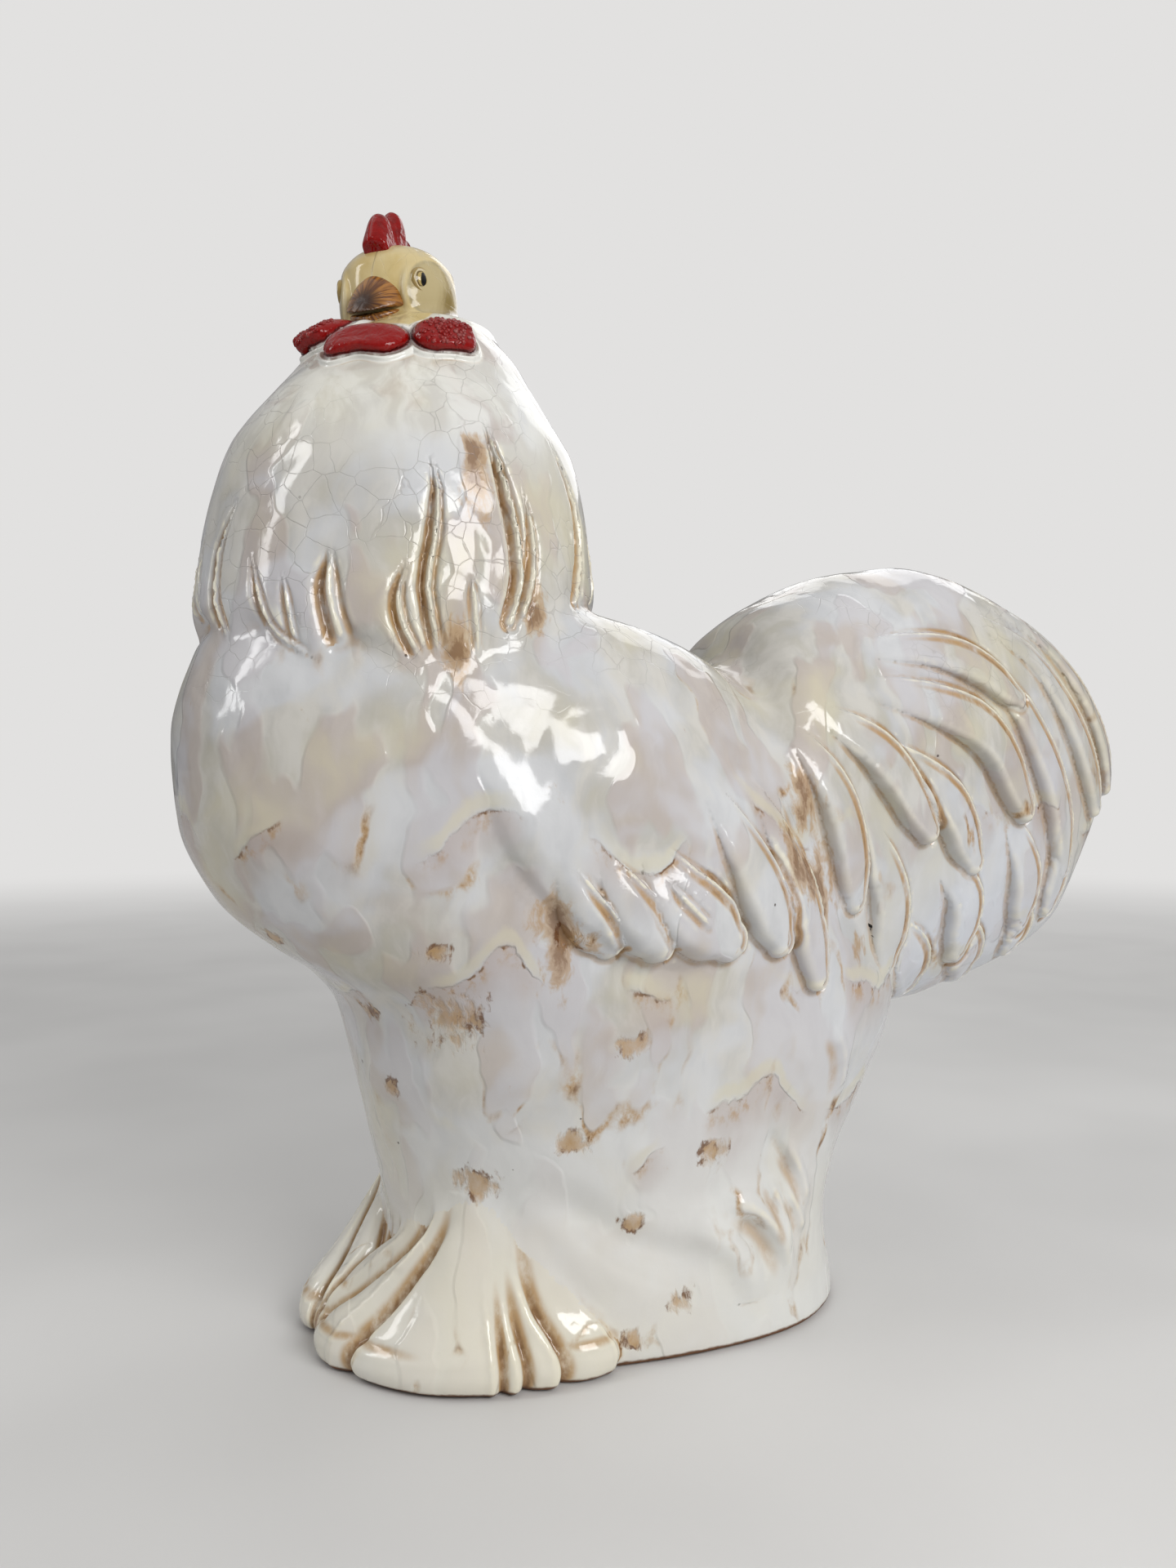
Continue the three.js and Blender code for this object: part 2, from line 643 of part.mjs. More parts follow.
function footSection(share) {
  return ring(footSides, (angle) => {
    const swell = 1 + (toeSwell / soleHalfWidth) * Math.cos(angle * toeCount) * (1 - share);
    const x = Math.max(footSplit, soleHalfWidth * swell * full(Math.cos(angle), soleFullness));
    const y = soleHalfLength * swell * full(Math.sin(angle), soleFullness) - soleSetForward;
    return new THREE.Vector3(
      THREE.MathUtils.lerp(instepOut, x, footLine(share)),
      THREE.MathUtils.lerp(-instepForward, y, footLine(share)),
      footHeight * share,
    );
  });
}

[1, -1].forEach((side) => {
  const sections = footShares.map(footSection);
  rooster.add(part(side > 0 ? 'foot_left' : 'foot_right',
    solidOf(loft(onSide(side, sections))).subtract(torsoGrown), creamGlaze));
});

export default rooster;
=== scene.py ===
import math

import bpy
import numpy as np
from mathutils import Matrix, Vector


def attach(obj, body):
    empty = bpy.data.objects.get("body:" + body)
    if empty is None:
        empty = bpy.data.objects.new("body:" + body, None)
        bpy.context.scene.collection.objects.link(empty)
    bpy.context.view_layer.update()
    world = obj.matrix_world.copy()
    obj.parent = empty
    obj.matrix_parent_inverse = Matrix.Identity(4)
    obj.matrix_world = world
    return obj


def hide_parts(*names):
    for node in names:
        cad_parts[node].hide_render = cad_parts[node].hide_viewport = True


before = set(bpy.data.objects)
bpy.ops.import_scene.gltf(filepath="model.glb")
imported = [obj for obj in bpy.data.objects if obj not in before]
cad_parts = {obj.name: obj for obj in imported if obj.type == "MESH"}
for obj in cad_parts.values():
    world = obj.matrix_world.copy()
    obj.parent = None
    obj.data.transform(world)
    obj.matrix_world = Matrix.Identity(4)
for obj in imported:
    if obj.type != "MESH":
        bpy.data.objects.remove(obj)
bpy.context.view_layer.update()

# %% [markdown]
# # A glazed ceramic rooster
# The real figurine is clay, modelled by hand, fired once, dipped in a milky glaze and fired
# again. Its clay parts melt into each other: there is hardly a hard edge on it. So the big
# forms are sculpted here as one smooth field of distances, the way a sculptor blends clay,
# and only then cut along the seams of the clay parts, so that each part is still its own piece.

MM = 0.001
GRAIN = 2.4
BATCH = 120000
print("solids", len(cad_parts), "clay grain", GRAIN, "mm")

# %% [markdown]
# ## Smooth lines
# The profile of a pot is drawn with few points and a steady hand. `curve` does the same: it
# passes through each pair of place and value, and never swings past them, so a neck or a
# breast gets no waves that nobody drew. The lines are sampled once, which keeps them fast.
# `ease`, `ridge` and `bulge` are the three soft steps that all the clay below is shaped with.

# %% A line through a few knots
def curve(*knots):
    at, value = np.array(knots, float).T
    rate = np.diff(value) / np.diff(at)
    slope = np.concatenate([rate[:1], np.zeros(len(at) - 2), rate[-1:]])
    before, after = rate[:-1], rate[1:]
    same_way = before * after > 0
    total = np.where(same_way, before + after, 1)
    slope[1:-1] = np.where(same_way, 2 * before * after / total, 0)
    fine = np.linspace(at[0], at[-1], 1600)
    k = np.clip(np.searchsorted(at, fine, side="right") - 1, 0, len(at) - 2)
    span = at[k + 1] - at[k]
    t = (fine - at[k]) / span
    line = (value[k] * (1 + 2 * t) * (1 - t) ** 2 + slope[k] * span * t * (1 - t) ** 2
            + value[k + 1] * t * t * (3 - 2 * t) - slope[k + 1] * span * t * t * (1 - t))
    return lambda place: np.interp(place, fine, line)


def ease(value, low, high):
    t = np.clip((value - low) / (high - low), 0, 1)
    return t * t * (3 - 2 * t)


def ridge(off, width):
    """One on a line and soft on both sides of it."""
    return np.exp(-(off / width) ** 2)


def bulge(inner):
    """A quarter round: steep at the rim, flat inside."""
    return np.sqrt(np.maximum(1 - (1 - inner) ** 2, 0))


# %% [markdown]
# ## Gaps between a point and the clay
# Each form is a function that says how far a point is from the skin of the clay: negative
# inside, zero on the skin. `joined` is a union with a soft fillet, as a wet finger leaves it.
# `squared` takes a distance that was measured in level slices and corrects it for the slope.

# %% Joining and measuring
def joined(a, b, fillet):
    mix = np.clip(0.5 + 0.5 * (b - a) / fillet, 0, 1)
    return b + (a - b) * mix - fillet * mix * (1 - mix)


def cut_by(a, b, fillet):
    return -joined(-a, -b, fillet)


def slice_gap(u, v, half_u, half_v, fullness):
    size = (np.abs(u / half_u) ** fullness + np.abs(v / half_v) ** fullness) ** (1 / fullness)
    return np.hypot(u, v) * (1 - 1 / np.maximum(size, 1e-3))


def squared(gap, here, step):
    d = gap(*here)
    beyond = gap(*(h + s for h, s in zip(here, step)))
    return d / np.sqrt(1 + np.minimum((beyond - d) ** 2, 9))


# %% [markdown]
# ## Torso
# The torso is a stack of level slices: a line for the breast, one for the rump, one for the
# flanks and one for where each slice is widest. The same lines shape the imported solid, so the
# sculpture stays on it. The underside has a recess that the bare floor slab is let into.

# %% Torso lines
TORSO_HEIGHT, FLANK, BREAST, RUMP = 352, 106, 197, 195
breast_line = curve((0, .44), (.19, .5), (.38, .58), (.45, .61), (.49, .665), (.535, .775),
                    (.6, .9), (.7, .985), (.81, 1), (.92, .95), (.97, .87), (1, .7))
rump_line = curve((0, .71), (.1, .7), (.2, .755), (.284, .846), (.38, .94), (.44, .965),
                  (.5, .92), (.57, .845), (.67, .73), (.76, .61), (.835, .51), (.89, .43),
                  (.92, .355), (.955, .2), (1, -.12))
flank_line = curve((0, .84), (.1, .82), (.2, .81), (.3, .86), (.4, .93), (.52, .975), (.7, 1),
                   (.855, .95), (.92, .87), (.97, .74), (1, .47))
widest_line = curve((0, .26), (.2, .13), (.38, 0), (.57, -.08), (.74, -.18), (.9, -.28), (1, -.38))


def torso_slice(x, y, z):
    share = z / TORSO_HEIGHT
    middle = RUMP * widest_line(share)
    v = y - middle
    ahead = BREAST * breast_line(share) + middle
    behind = RUMP * rump_line(share) - middle
    return slice_gap(x, v, FLANK * flank_line(share), np.where(v < 0, ahead, behind), 2.25)


def torso_gap(x, y, z):
    d = squared(torso_slice, (x, y, z), (0, 0, 1.5))
    return cut_by(d, z - TORSO_HEIGHT, 8)


# %% [markdown]
# ## Marks in the surface
# Feathers are pads of clay pressed onto the body, and folds are strokes of a wooden tool.
# Both follow a path. `beside` finds how far a point is from a path, how far along it is, and
# on which side. Each mark gives a height for the clay and a share of groove, which the glaze
# uses later: it runs off the edges of a groove and shows the brown clay there, and the groove
# also gets painted shade.

# %% Distance to a path
def bent(path, count):
    """A smooth run of points through the given ones."""
    p = np.array(path, float)
    if len(p) == 2:
        return np.array([p[0] + (p[1] - p[0]) * t for t in np.linspace(0, 1, count)])
    place = np.linspace(0, 1, count) * (len(p) - 1)
    longer = np.vstack([2 * p[0] - p[1], p, 2 * p[-1] - p[-2]])
    k = np.clip(place.astype(int), 0, len(p) - 2)
    t = (place - k)[:, None]
    a, b, c, d = longer[k], longer[k + 1], longer[k + 2], longer[k + 3]
    return b + 0.5 * t * (c - a + t * (2 * a - 5 * b + 4 * c - d + t * (3 * (b - c) + d - a)))


def beside(u, v, path, count=12):
    run = bent(path, count)
    away = np.full(u.shape, 1e9)
    along = np.zeros(u.shape)
    side = np.zeros(u.shape)
    for i in range(count - 1):
        (pu, pv), (du, dv) = run[i], run[i + 1] - run[i]
        ru, rv = u - pu, v - pv
        t = np.clip((ru * du + rv * dv) / (du * du + dv * dv), 0, 1)
        eu, ev = ru - t * du, rv - t * dv
        d = eu * eu + ev * ev
        near = d < away
        away = np.where(near, d, away)
        along = np.where(near, (i + t) / (count - 1), along)
        side = np.where(near, du * ev - dv * eu, side)
    return np.sqrt(away), along, np.sign(side)


def inside_box(u, v, path, margin):
    p = np.array(path, float)
    (u0, v0), (u1, v1) = p.min(0) - margin, p.max(0) + margin
    return (u > u0) & (u < u1) & (v > v0) & (v < v1)


# %% A feather pad and a tool stroke
pad_width = curve((0, .35), (.3, .8), (.6, 1), (.82, .95), (1, .62))
pad_rise = curve((0, 0), (.15, .2), (.4, .7), (.7, 1), (1, .9))
# how high, how far inside the pad's edge, and how wide
LIP, VALLEY = (1.6, 1.2, 1.0), (1.3, 4.4, 2.1)


def press_pads(u, v, pads, height, groove, bevel=5.5, tilt=.28, owner=None):
    """Raises the pads in `height`, the last one on top, and marks their outlines in `groove`."""
    for number, (path, half, crown) in enumerate(pads):
        m = inside_box(u, v, path, half + 8)
        if not m.any():
            continue
        away, along, side = beside(u[m], v[m], path)
        edge = half * pad_width(along) - away
        over = np.clip(side * away / half, -1, 1)
        rise = pad_rise(along)
        inner = np.clip(edge / bevel, 0, 1)
        upper = ease(over, .1, .5) * rise
        swell = (crown * rise * (1 - tilt * over) * bulge(inner)
                 + LIP[0] * upper * ridge(edge - LIP[1], LIP[2])
                 - VALLEY[0] * upper * ridge(edge - VALLEY[1], VALLEY[2]))
        gutter = rise * (.7 + 1.1 * upper) * ridge(edge + 1.8, 1.5)
        below = height[m] - gutter * (edge < 2)
        on_top = (edge > 0) & (swell > below)
        height[m] = np.where(on_top, swell, below)
        if owner is not None:
            owner[m] = np.where(on_top, number, owner[m])
        # the outline and the tan band inside the upper rim are painted later partly as shade
        line = rise * (.4 + .6 * upper) * ridge(edge + 1.6, 1.5)
        tan = .8 * upper * ridge(edge - 4.6, 2.3)
        groove[m] = np.where(on_top, np.maximum(tan, groove[m] * (1 - ease(edge, 0, 2))),
                             np.maximum(groove[m], line))


def draw_strokes(u, v, strokes, height, groove):
    """A stroke leaves a thin crest between a narrow valley and a wide one."""
    for path, width, depth in strokes:
        m = inside_box(u, v, path, 4 * width)
        if not m.any():
            continue
        away, along, side = beside(u[m], v[m], path, 9)
        off = -side * away
        fade = ease(along, 0, .35) * (1 - .4 * ease(along, .9, 1))
        wide = width * (.35 + .65 * ease(along, 0, .5))
        valley = ridge(off - wide, .62 * wide) + .55 * ridge(off + .8 * wide, .45 * wide)
        height[m] += fade * (.32 * depth * ridge(off, .3 * wide) - depth * valley)
        groove[m] = np.maximum(groove[m], fade * valley * min(1, depth / 3))


def fold_clay(u, v, folds, height, groove):
    """A soft fold: a raised one has a positive height, a hollow a negative one."""
    for path, width, rise in folds:
        m = inside_box(u, v, path, 3 * width)
        away, along, side = beside(u[m], v[m], path)
        fade = ease(along, 0, .3) * (1 - ease(along, .7, 1))
        height[m] += fade * rise * ridge(away, width)
        edge = fade * ridge(away * side + 1.7 * width, .9 * width)
        groove[m] = np.maximum(groove[m], .42 * edge if rise > 0 and width < 6 else 0)


# %% [markdown]
# ## Wings, skirt folds and hackle
# The folded wing is a low swelling with five feather ends below it. The pads are drawn as seen
# from the side, and both sides get the same. The skirt has a few soft folds at the back. The
# hackle is a bell whose flutes are strokes drawn round the neck: each has the angle and the
# height of its points, its width and its depth. The angle is then turned into arc length.

# %% Wings and folds
WING_PADS = [
    (((50, 262), (73, 220), (86, 172)), 12.5, 9),
    (((-54, 230), (-44, 210), (-31, 195)), 10, 5.5),
    (((-36, 232), (-22, 210), (-9, 193)), 11.5, 6.5),
    (((-14, 236), (2, 212), (28, 194)), 17, 8),
    (((18, 262), (44, 222), (60, 192)), 14.5, 9),
]
WING_BEVEL, WING_TILT = 7.0, .15
WING_STROKES = [
    (((-9, 224), (0, 214), (12, 203)), 3.0, 1.6),
    (((64, 270), (80, 236), (90, 204)), 3.0, 1.4),
]
FOLDS = [
    (((-57, 92), (-22, 64), (5, 49), (36, 37)), 10, -4),
    (((14, 64), (34, 54), (50, 38), (57, 12)), 8, 5),
    (((35, 70), (56, 63), (72, 46), (82, 18)), 5.5, 5),
    (((45, 58), (58, 50), (68, 30)), 5, -3.0),
    (((65, 76), (74, 58), (79, 38)), 3.6, 3.4),
    (((74, 72), (86, 55), (90, 42)), 3.6, 3.0),
    (((70, 96), (84, 80), (91, 66), (93, 50)), 4.2, 3.6),
    (((62, 100), (76, 84), (82, 68)), 4, -2.2),
    (((98, 150), (112, 128), (114, 100)), 4.5, 3),
]
SHOULDER_SPOT, SHOULDER_TILT = (-8, 246), (.86, .5)
SHOULDER_LONG, SHOULDER_TALL, SHOULDER_RISE = 84, 56, 9.5
shoulder_soft = curve((0, 1), (.5, .8), (.8, .42), (1, .16), (1.25, 0))
shoulder_edge = curve((0, 1), (.5, .97), (.8, .85), (.93, .55), (1.02, .08), (1.1, 0))


def shoulder_place(y, z):
    """A place on the slanted shoulder: along it, across it, and 1 for how far out its rim is."""
    c, s = SHOULDER_TILT
    u, v = y - SHOULDER_SPOT[0], z - SHOULDER_SPOT[1]
    along, across = u * c + v * -s, u * s + v * c
    return along, across, np.hypot(along / SHOULDER_LONG, across / SHOULDER_TALL)


def wing_relief(x, y, z):
    height, groove = np.zeros(x.shape), np.zeros(x.shape)
    m = (z > 20) & (z < 330) & (y > -110) & (y < 140)
    if m.any():
        u, v = y[m], z[m]
        along, across, out = shoulder_place(u, v)
        below = ease(-across, 5, 36) * ease(along, 60, 20)
        h = SHOULDER_RISE * (shoulder_soft(out) + below * (shoulder_edge(out) - shoulder_soft(out)))
        bumps, g = np.zeros(u.shape), np.zeros(u.shape)
        press_pads(u, v, WING_PADS, bumps, g, WING_BEVEL, WING_TILT)
        h += bumps
        draw_strokes(u, v, WING_STROKES, h, g)
        fold_clay(u, v, FOLDS, h, g)
        facing = ease(np.abs(x[m]), 35, 70)
        height[m], groove[m] = h * facing, g * facing
    return height, groove


# %% Hackle
NECK_FOOT, NECK_LENGTH, NECK_RADIUS, NECK_SET, NECK_LEAN = 331, 165, 95, -92, 15
neck_line = curve((0, .985), (.127, .995), (.267, .972), (.406, .928), (.539, .861), (.6, .8),
                  (.667, .721), (.733, .64), (.812, .54), (.873, .428), (.897, .385),
                  (.921, .337), (.945, .237), (.976, .126), (1, .06))
lean_line = curve((0, 0), (.267, .01), (.406, .067), (.539, .167), (.667, .267), (.812, .433),
                  (.873, .633), (.921, .893), (.976, .97), (1, 1))
hem_line = curve((0, 342), (19, 331), (25, 329), (34, 334), (47, 321), (54, 318), (62, 326),
                 (70, 320), (78, 317), (84, 321), (91, 317), (98, 324), (108, 321), (119, 330),
                 (127, 341), (140, 345), (152, 350), (165, 347), (180, 351))
NECK_STROKES = [
    (((26, 386), (19, 366), (19, 346), (24, 328)), 3.4, 3.4),
    (((33, 362), (37, 343), (41, 328), (50, 318)), 2.8, 2.6),
    (((57, 362), (57, 342), (60, 322)), 4.6, 3.6),
    (((44, 352), (46, 338), (48, 322)), 2.4, 1.6),
    (((77, 358), (74, 342), (75, 329), (79, 316)), 2.8, 2.8),
    (((81, 404), (84, 386), (83, 364), (81, 344), (84, 318)), 3.0, 3.8),
    (((92, 352), (93, 338), (94, 318)), 2.4, 1.6),
    (((97, 425), (102, 402), (106, 378), (107, 352), (103, 332)), 3.4, 4.6),
    (((109, 396), (112, 374), (111, 352), (107, 336)), 2.6, 2.4),
    (((125, 424), (136, 396), (136, 370), (130, 346)), 3.4, 3.6),
    (((146, 392), (150, 366), (149, 348)), 3.0, 2.6),
    (((165, 410), (168, 380), (165, 350)), 3.4, 3.4),
    (((6, 378), (4, 360), (5, 342)), 3.0, 2.4),
]
NECK_ARC = math.radians(NECK_RADIUS)
NECK_STROKES = [([(a * NECK_ARC, z) for a, z in path], w, d) for path, w, d in NECK_STROKES]
HEM_SWELL = 2.2


def neck_round(x, y, z):
    share = (z - NECK_FOOT) / NECK_LENGTH
    return x, y - NECK_SET - NECK_LEAN * lean_line(share), NECK_RADIUS * neck_line(share)


def neck_slice(x, y, z):
    u, v, radius = neck_round(x, y, z)
    return np.hypot(u, v) - radius


def neck_field(x, y, z):
    u, v, radius = neck_round(x, y, z)
    turn = np.degrees(np.arctan2(np.abs(u), -v))
    height, groove = np.zeros(x.shape), np.zeros(x.shape)
    m = z < 440
    if m.any():
        h, g = np.zeros(m.sum()), np.zeros(m.sum())
        draw_strokes(NECK_ARC * turn[m], z[m], NECK_STROKES, h, g)
        height[m], groove[m] = h, g
    d = squared(neck_slice, (x, y, z), (0, 0, 1.5)) - height - HEM_SWELL * ease(-z, -360, -335)
    hem = hem_line(turn) - 1.5
    d = cut_by(d, (hem - z) * .8, 9)
    return cut_by(d, z - NECK_FOOT - NECK_LENGTH, 6), groove


# %% [markdown]
# ## Tail fan
# The tail is a thick round fan: upright slices between an upper and a lower line, thinner
# towards the rim. Its feathers overlap like roof tiles, the front ones on top, and each is
# highest along its upper edge. This fan is the part that shows most skill on the real piece.

# %% Tail
TAIL_ROOT, TAIL_REACH, TAIL_TOP, TAIL_BOTTOM, TAIL_HALF = 60, 368, 392, 135, 88
tail_upper = curve((0, .71), (.045, .74), (.115, .845), (.18, .9), (.3, .965), (.38, .985),
                   (.48, 1), (.564, .99), (.651, .965), (.723, .935), (.811, .88), (.87, .825),
                   (.915, .763), (.954, .704), (.985, .64), (1, .58))
tail_lower = curve((0, .06), (.3, .005), (.466, .01), (.59, .04), (.74, .09), (.824, .145),
                   (.86, .2), (.9, .28), (.93, .342), (.958, .4), (.985, .46), (1, .51))
tail_width = curve((0, 1), (.13, .955), (.29, .86), (.45, .76), (.62, .64), (.78, .53),
                   (.9, .42), (.965, .29), (1, .12))
TAIL_PADS = [
    (((236, 379), (292, 357), (322, 330), (343, 296), (352, 262)), 9, 5.0),
    (((222, 362), (274, 343), (304, 310), (321, 281), (332, 250)), 11, 6.0),
    (((196, 340), (246, 320), (272, 288), (290, 254), (300, 214)), 13, 7.0),
    (((292, 250), (299, 222), (296, 190)), 11, 5.5),
    (((262, 204), (272, 184), (270, 168)), 12, 5.0),
    (((210, 190), (226, 172), (232, 156)), 14, 4.5),
    (((160, 190), (178, 170), (186, 152)), 14, 4.5),
    (((247, 248), (264, 214), (268, 184)), 14, 7.5),
    (((189, 222), (210, 202), (214, 172)), 15, 7.5),
    (((130, 244), (148, 206), (154, 170)), 15, 7.5),
    (((128, 334), (186, 337), (224, 329), (254, 313)), 12, 7.0),
    (((126, 315), (186, 306), (226, 290), (256, 250)), 15, 8.5),
    (((140, 284), (186, 257), (212, 222)), 14.5, 8.0),
    (((100, 300), (138, 278), (172, 240)), 13.5, 8.0),
    (((84, 290), (106, 254), (120, 206)), 13, 8.0),
]
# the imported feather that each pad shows; a pad without a name stays part of the fan
TAIL_NAMES = ["", "sickle_outer", "sickle_rear", "", "", "", "", "covert_rear", "covert_lower",
              "covert_lowest", "sickle_upper", "sickle_middle", "covert_middle", "covert_upper",
              "covert_front"]


def tail_slice(x, y, z):
    share = (y - TAIL_ROOT) / (TAIL_REACH - TAIL_ROOT)
    rise = TAIL_TOP - TAIL_BOTTOM
    upper = TAIL_BOTTOM + rise * tail_upper(share)
    lower = TAIL_BOTTOM + rise * tail_lower(share)
    half_width = TAIL_HALF * tail_width(share)
    return slice_gap(x, z - (upper + lower) / 2, half_width, (upper - lower) / 2, 2.3)


def tail_field(x, y, z):
    d = squared(tail_slice, (x, y, z), (0, 1.5, 0))
    d = cut_by(d, y - TAIL_REACH, 5)
    d = cut_by(d, TAIL_ROOT - y, 5)
    height, groove = np.zeros(x.shape), np.zeros(x.shape)
    press_pads(y, z, TAIL_PADS, height, groove)
    facing = ease(np.abs(x), 8, 24)
    return d - height * facing, groove * facing


# %% [markdown]
# ## Feet
# Each foot is half of one round sole that is drawn up to the instep. Strokes run from the
# instep to the rim and leave the toes between them. They are drawn as seen from above, with
# angle and distance from the instep turned back into plain places.

# %% Feet
SOLE_HALF, SOLE_LENGTH, SOLE_SET, FOOT_HEIGHT = 88, 90, -45, 82
INSTEP = (56, -68)
foot_line = curve((0, .92), (.04, .975), (.1, 1), (.17, .97), (.25, .87), (.36, .71),
                  (.5, .56), (.7, .38), (.86, .25), (1, .12))
# angle round the instep, width and depth
TOE_STROKES = [(-58, 2.2, 2.0), (-38, 2.4, 2.4), (-17, 2.6, 2.8), (86, 2.2, 2.6), (106, 2.5, 3.0),
               (130, 2.5, 3.0), (154, 2.4, 2.6)]
TOE_RISE, NARROW_TOE = 3.0, 30
LEDGE_LEVEL, LEDGE_DEPTH = 17, .7
toe_round = curve((0, 0), (.16, .3), (.32, .8), (.5, 1), (.68, .8), (.84, .3), (1, 0))


def foot_slice(x, y, z):
    drawn = foot_line(z / FOOT_HEIGHT)
    u = (x - INSTEP[0] * (1 - drawn)) / drawn
    v = (y - INSTEP[1] * (1 - drawn)) / drawn - SOLE_SET
    return slice_gap(u, v, SOLE_HALF, SOLE_LENGTH, 2.2) * drawn


def foot_field(x, y, z):
    side = np.abs(x)
    d = squared(foot_slice, (side, y, z), (0, 0, 1.5))
    u, v = side - INSTEP[0], y - INSTEP[1]
    out = np.hypot(u, v)
    turn = np.degrees(np.arctan2(u, -v))
    height, groove = np.zeros(x.shape), np.zeros(x.shape)
    for (angle, *_), (beyond, *_) in zip(TOE_STROKES, TOE_STROKES[1:]):
        if beyond - angle < NARROW_TOE:
            share = (turn - angle) / (beyond - angle)
            height += TOE_RISE * toe_round(share) * ((share > 0) & (share < 1)) * ease(out, 24, 60)
    for angle, width, depth in TOE_STROKES:
        off = (turn - angle + 180) % 360 - 180
        away = np.radians(off) * out
        fade = ease(out, 10, 26)
        mark = ridge(away, width) * fade
        lip = ridge(away + 2.4 * width, .7 * width) * fade
        height += depth * (.3 * lip - mark)
        groove = np.maximum(groove, mark)
    ledge = ridge(z - LEDGE_LEVEL, 2.4) * ease(out, 30, 45)
    height -= LEDGE_DEPTH * ledge
    parting = ridge(side, 2.6)
    d = cut_by(d - height + 3 * parting, z - FOOT_HEIGHT, 6)
    return d, np.maximum(np.maximum(groove, parting), .5 * ledge)


# %% [markdown]
# ## Head and ruff
# The head is drawn in its own frame, because it is turned towards the rooster's left. Level
# slices give the skull, and two flat balls give the cheeks. The ruff of wattles and ear lobes
# is three pads round the throat, measured in millimetres of arc and height like the hackle.

# %% Head frame and head
HEAD_TURN, HEAD_SPOT = math.radians(46), (-2.22, -94.3, 503.0)
HEAD_HALF, HEAD_AHEAD, HEAD_BEHIND, HEAD_BACK, HEAD_TALL, HEAD_PLUG = 27.5, 30, 20, 8, 47, 24
head_line = curve((0, .93), (.255, .98), (.49, 1), (.64, .985), (.72, .95), (.81, .85),
                  (.87, .74), (.94, .55), (.98, .36), (1, .2))


def from_head(x, y, z):
    """A place, as the head sees it: x to its left, -y ahead."""
    c, s = math.cos(HEAD_TURN), math.sin(HEAD_TURN)
    x, y = x - HEAD_SPOT[0], y - HEAD_SPOT[1]
    return c * x + s * y, c * y - s * x, z - HEAD_SPOT[2]


def ball_gap(x, y, z, radii):
    a, b, c = (v / r for v, r in zip((x, y, z), radii))
    size = np.sqrt(a * a + b * b + c * c)
    pull = np.sqrt((a / radii[0]) ** 2 + (b / radii[1]) ** 2 + (c / radii[2]) ** 2)
    return size * (size - 1) / np.maximum(pull, 1e-6)


def head_slice(x, y, z):
    size = head_line((z + HEAD_PLUG) / HEAD_TALL)
    v = y - HEAD_BACK
    return slice_gap(x, v, HEAD_HALF * size, np.where(v < 0, HEAD_AHEAD, HEAD_BEHIND) * size, 2.3)


CHEEK_SPOT, CHEEK_TURN, CHEEK_RADII = (21, -4, -6), math.radians(20), (5.5, 17.5, 17)


def from_cheek(x, y, z):
    """A place in the head, as the nearer cheek sees it: x outwards, -y ahead."""
    c, s = math.cos(CHEEK_TURN), math.sin(CHEEK_TURN)
    x, y = np.abs(x) - CHEEK_SPOT[0], y - CHEEK_SPOT[1]
    return c * x - s * y, s * x + c * y, z - CHEEK_SPOT[2]


def head_field(x, y, z):
    p = from_head(x, y, z)
    d = squared(head_slice, p, (0, 0, 1))
    d = cut_by(d, p[2] + HEAD_PLUG - HEAD_TALL, 7)
    d = joined(d, ball_gap(*from_cheek(*p), CHEEK_RADII), 2.5)
    return d, np.zeros(x.shape)


# %% Ruff
RUFF_RADIUS, RUFF_RISE, RUFF_FACING = 54, 6.0, (.719, .695)
# name, angle, level, half its angle and half its height
RUFF = [("wattle_front", 53.5, 459.5, 19.5, 8.8), ("earlobe_left", 88.5, 464, 15, 10),
        ("earlobe_right", 19.5, 470, 12.5, 9)]
# how many half waves the lower edge has, where they start, and how deep they are
WATTLE_WAVE, LOBE_WAVE = (1.62, 0, .13), (-1.1, .9, .08)


def before_throat(x, y, z, reach):
    """True round the throat, on the side that the head looks to."""
    c, s = RUFF_FACING
    return (z > 440) & (z < 496) & (x * c - (y - NECK_SET) * s > reach)


def ruff_pads(x, y, z):
    """How far inside the nearest ruff pad a point is, and which pad that is."""
    u, v, _ = neck_round(x, y, z)
    turn = np.degrees(np.arctan2(u, -v))
    deep, which = np.full(x.shape, -20.0), np.full(x.shape, -1)
    for k, (name, middle, level, half_turn, half_tall) in enumerate(RUFF):
        arc = math.radians(RUFF_RADIUS) * (turn - middle)
        half_arc = math.radians(RUFF_RADIUS) * half_turn
        waves, start, depth = WATTLE_WAVE if name == "wattle_front" else LOBE_WAVE
        dip = 1 - depth * np.cos(arc / half_arc * (waves * math.pi) + start) * (z < level)
        wide, tall = np.abs(arc / half_arc), np.abs((z - level) / (half_tall * dip))
        size = (wide ** 2.6 + tall ** 2.3) ** (1 / 2.45)
        inner = (1 - size) * min(half_arc, half_tall)
        deep, which = np.maximum(deep, inner), np.where(inner > deep, k, which)
    return deep, which


def ruff_height(x, y, z):
    height = np.zeros(x.shape)
    m = before_throat(x, y, z, -20)
    if m.any():
        deep, _ = ruff_pads(x[m], y[m], z[m])
        height[m] = RUFF_RISE * bulge(np.clip(deep / 4.5, 0, 1)) + 1.6 * ridge(deep + 1.4, 1.3)
    return height


# %% [markdown]
# ## The whole sculpture as one field
# The torso, tail, feet, neck and head are joined with fillets of different size: wide where
# the tail grows out of the back, narrow under the hem of the hackle. A slow unevenness of half
# a millimetre keeps the skin from looking turned on a machine. `forms` keeps them apart, and
# later tells which one is nearest, which decides where the clay is cut into pieces.

# %% One field
FAR = 400.0
SLAB_GAP, SLAB_ROOF = 7.3, 8.3


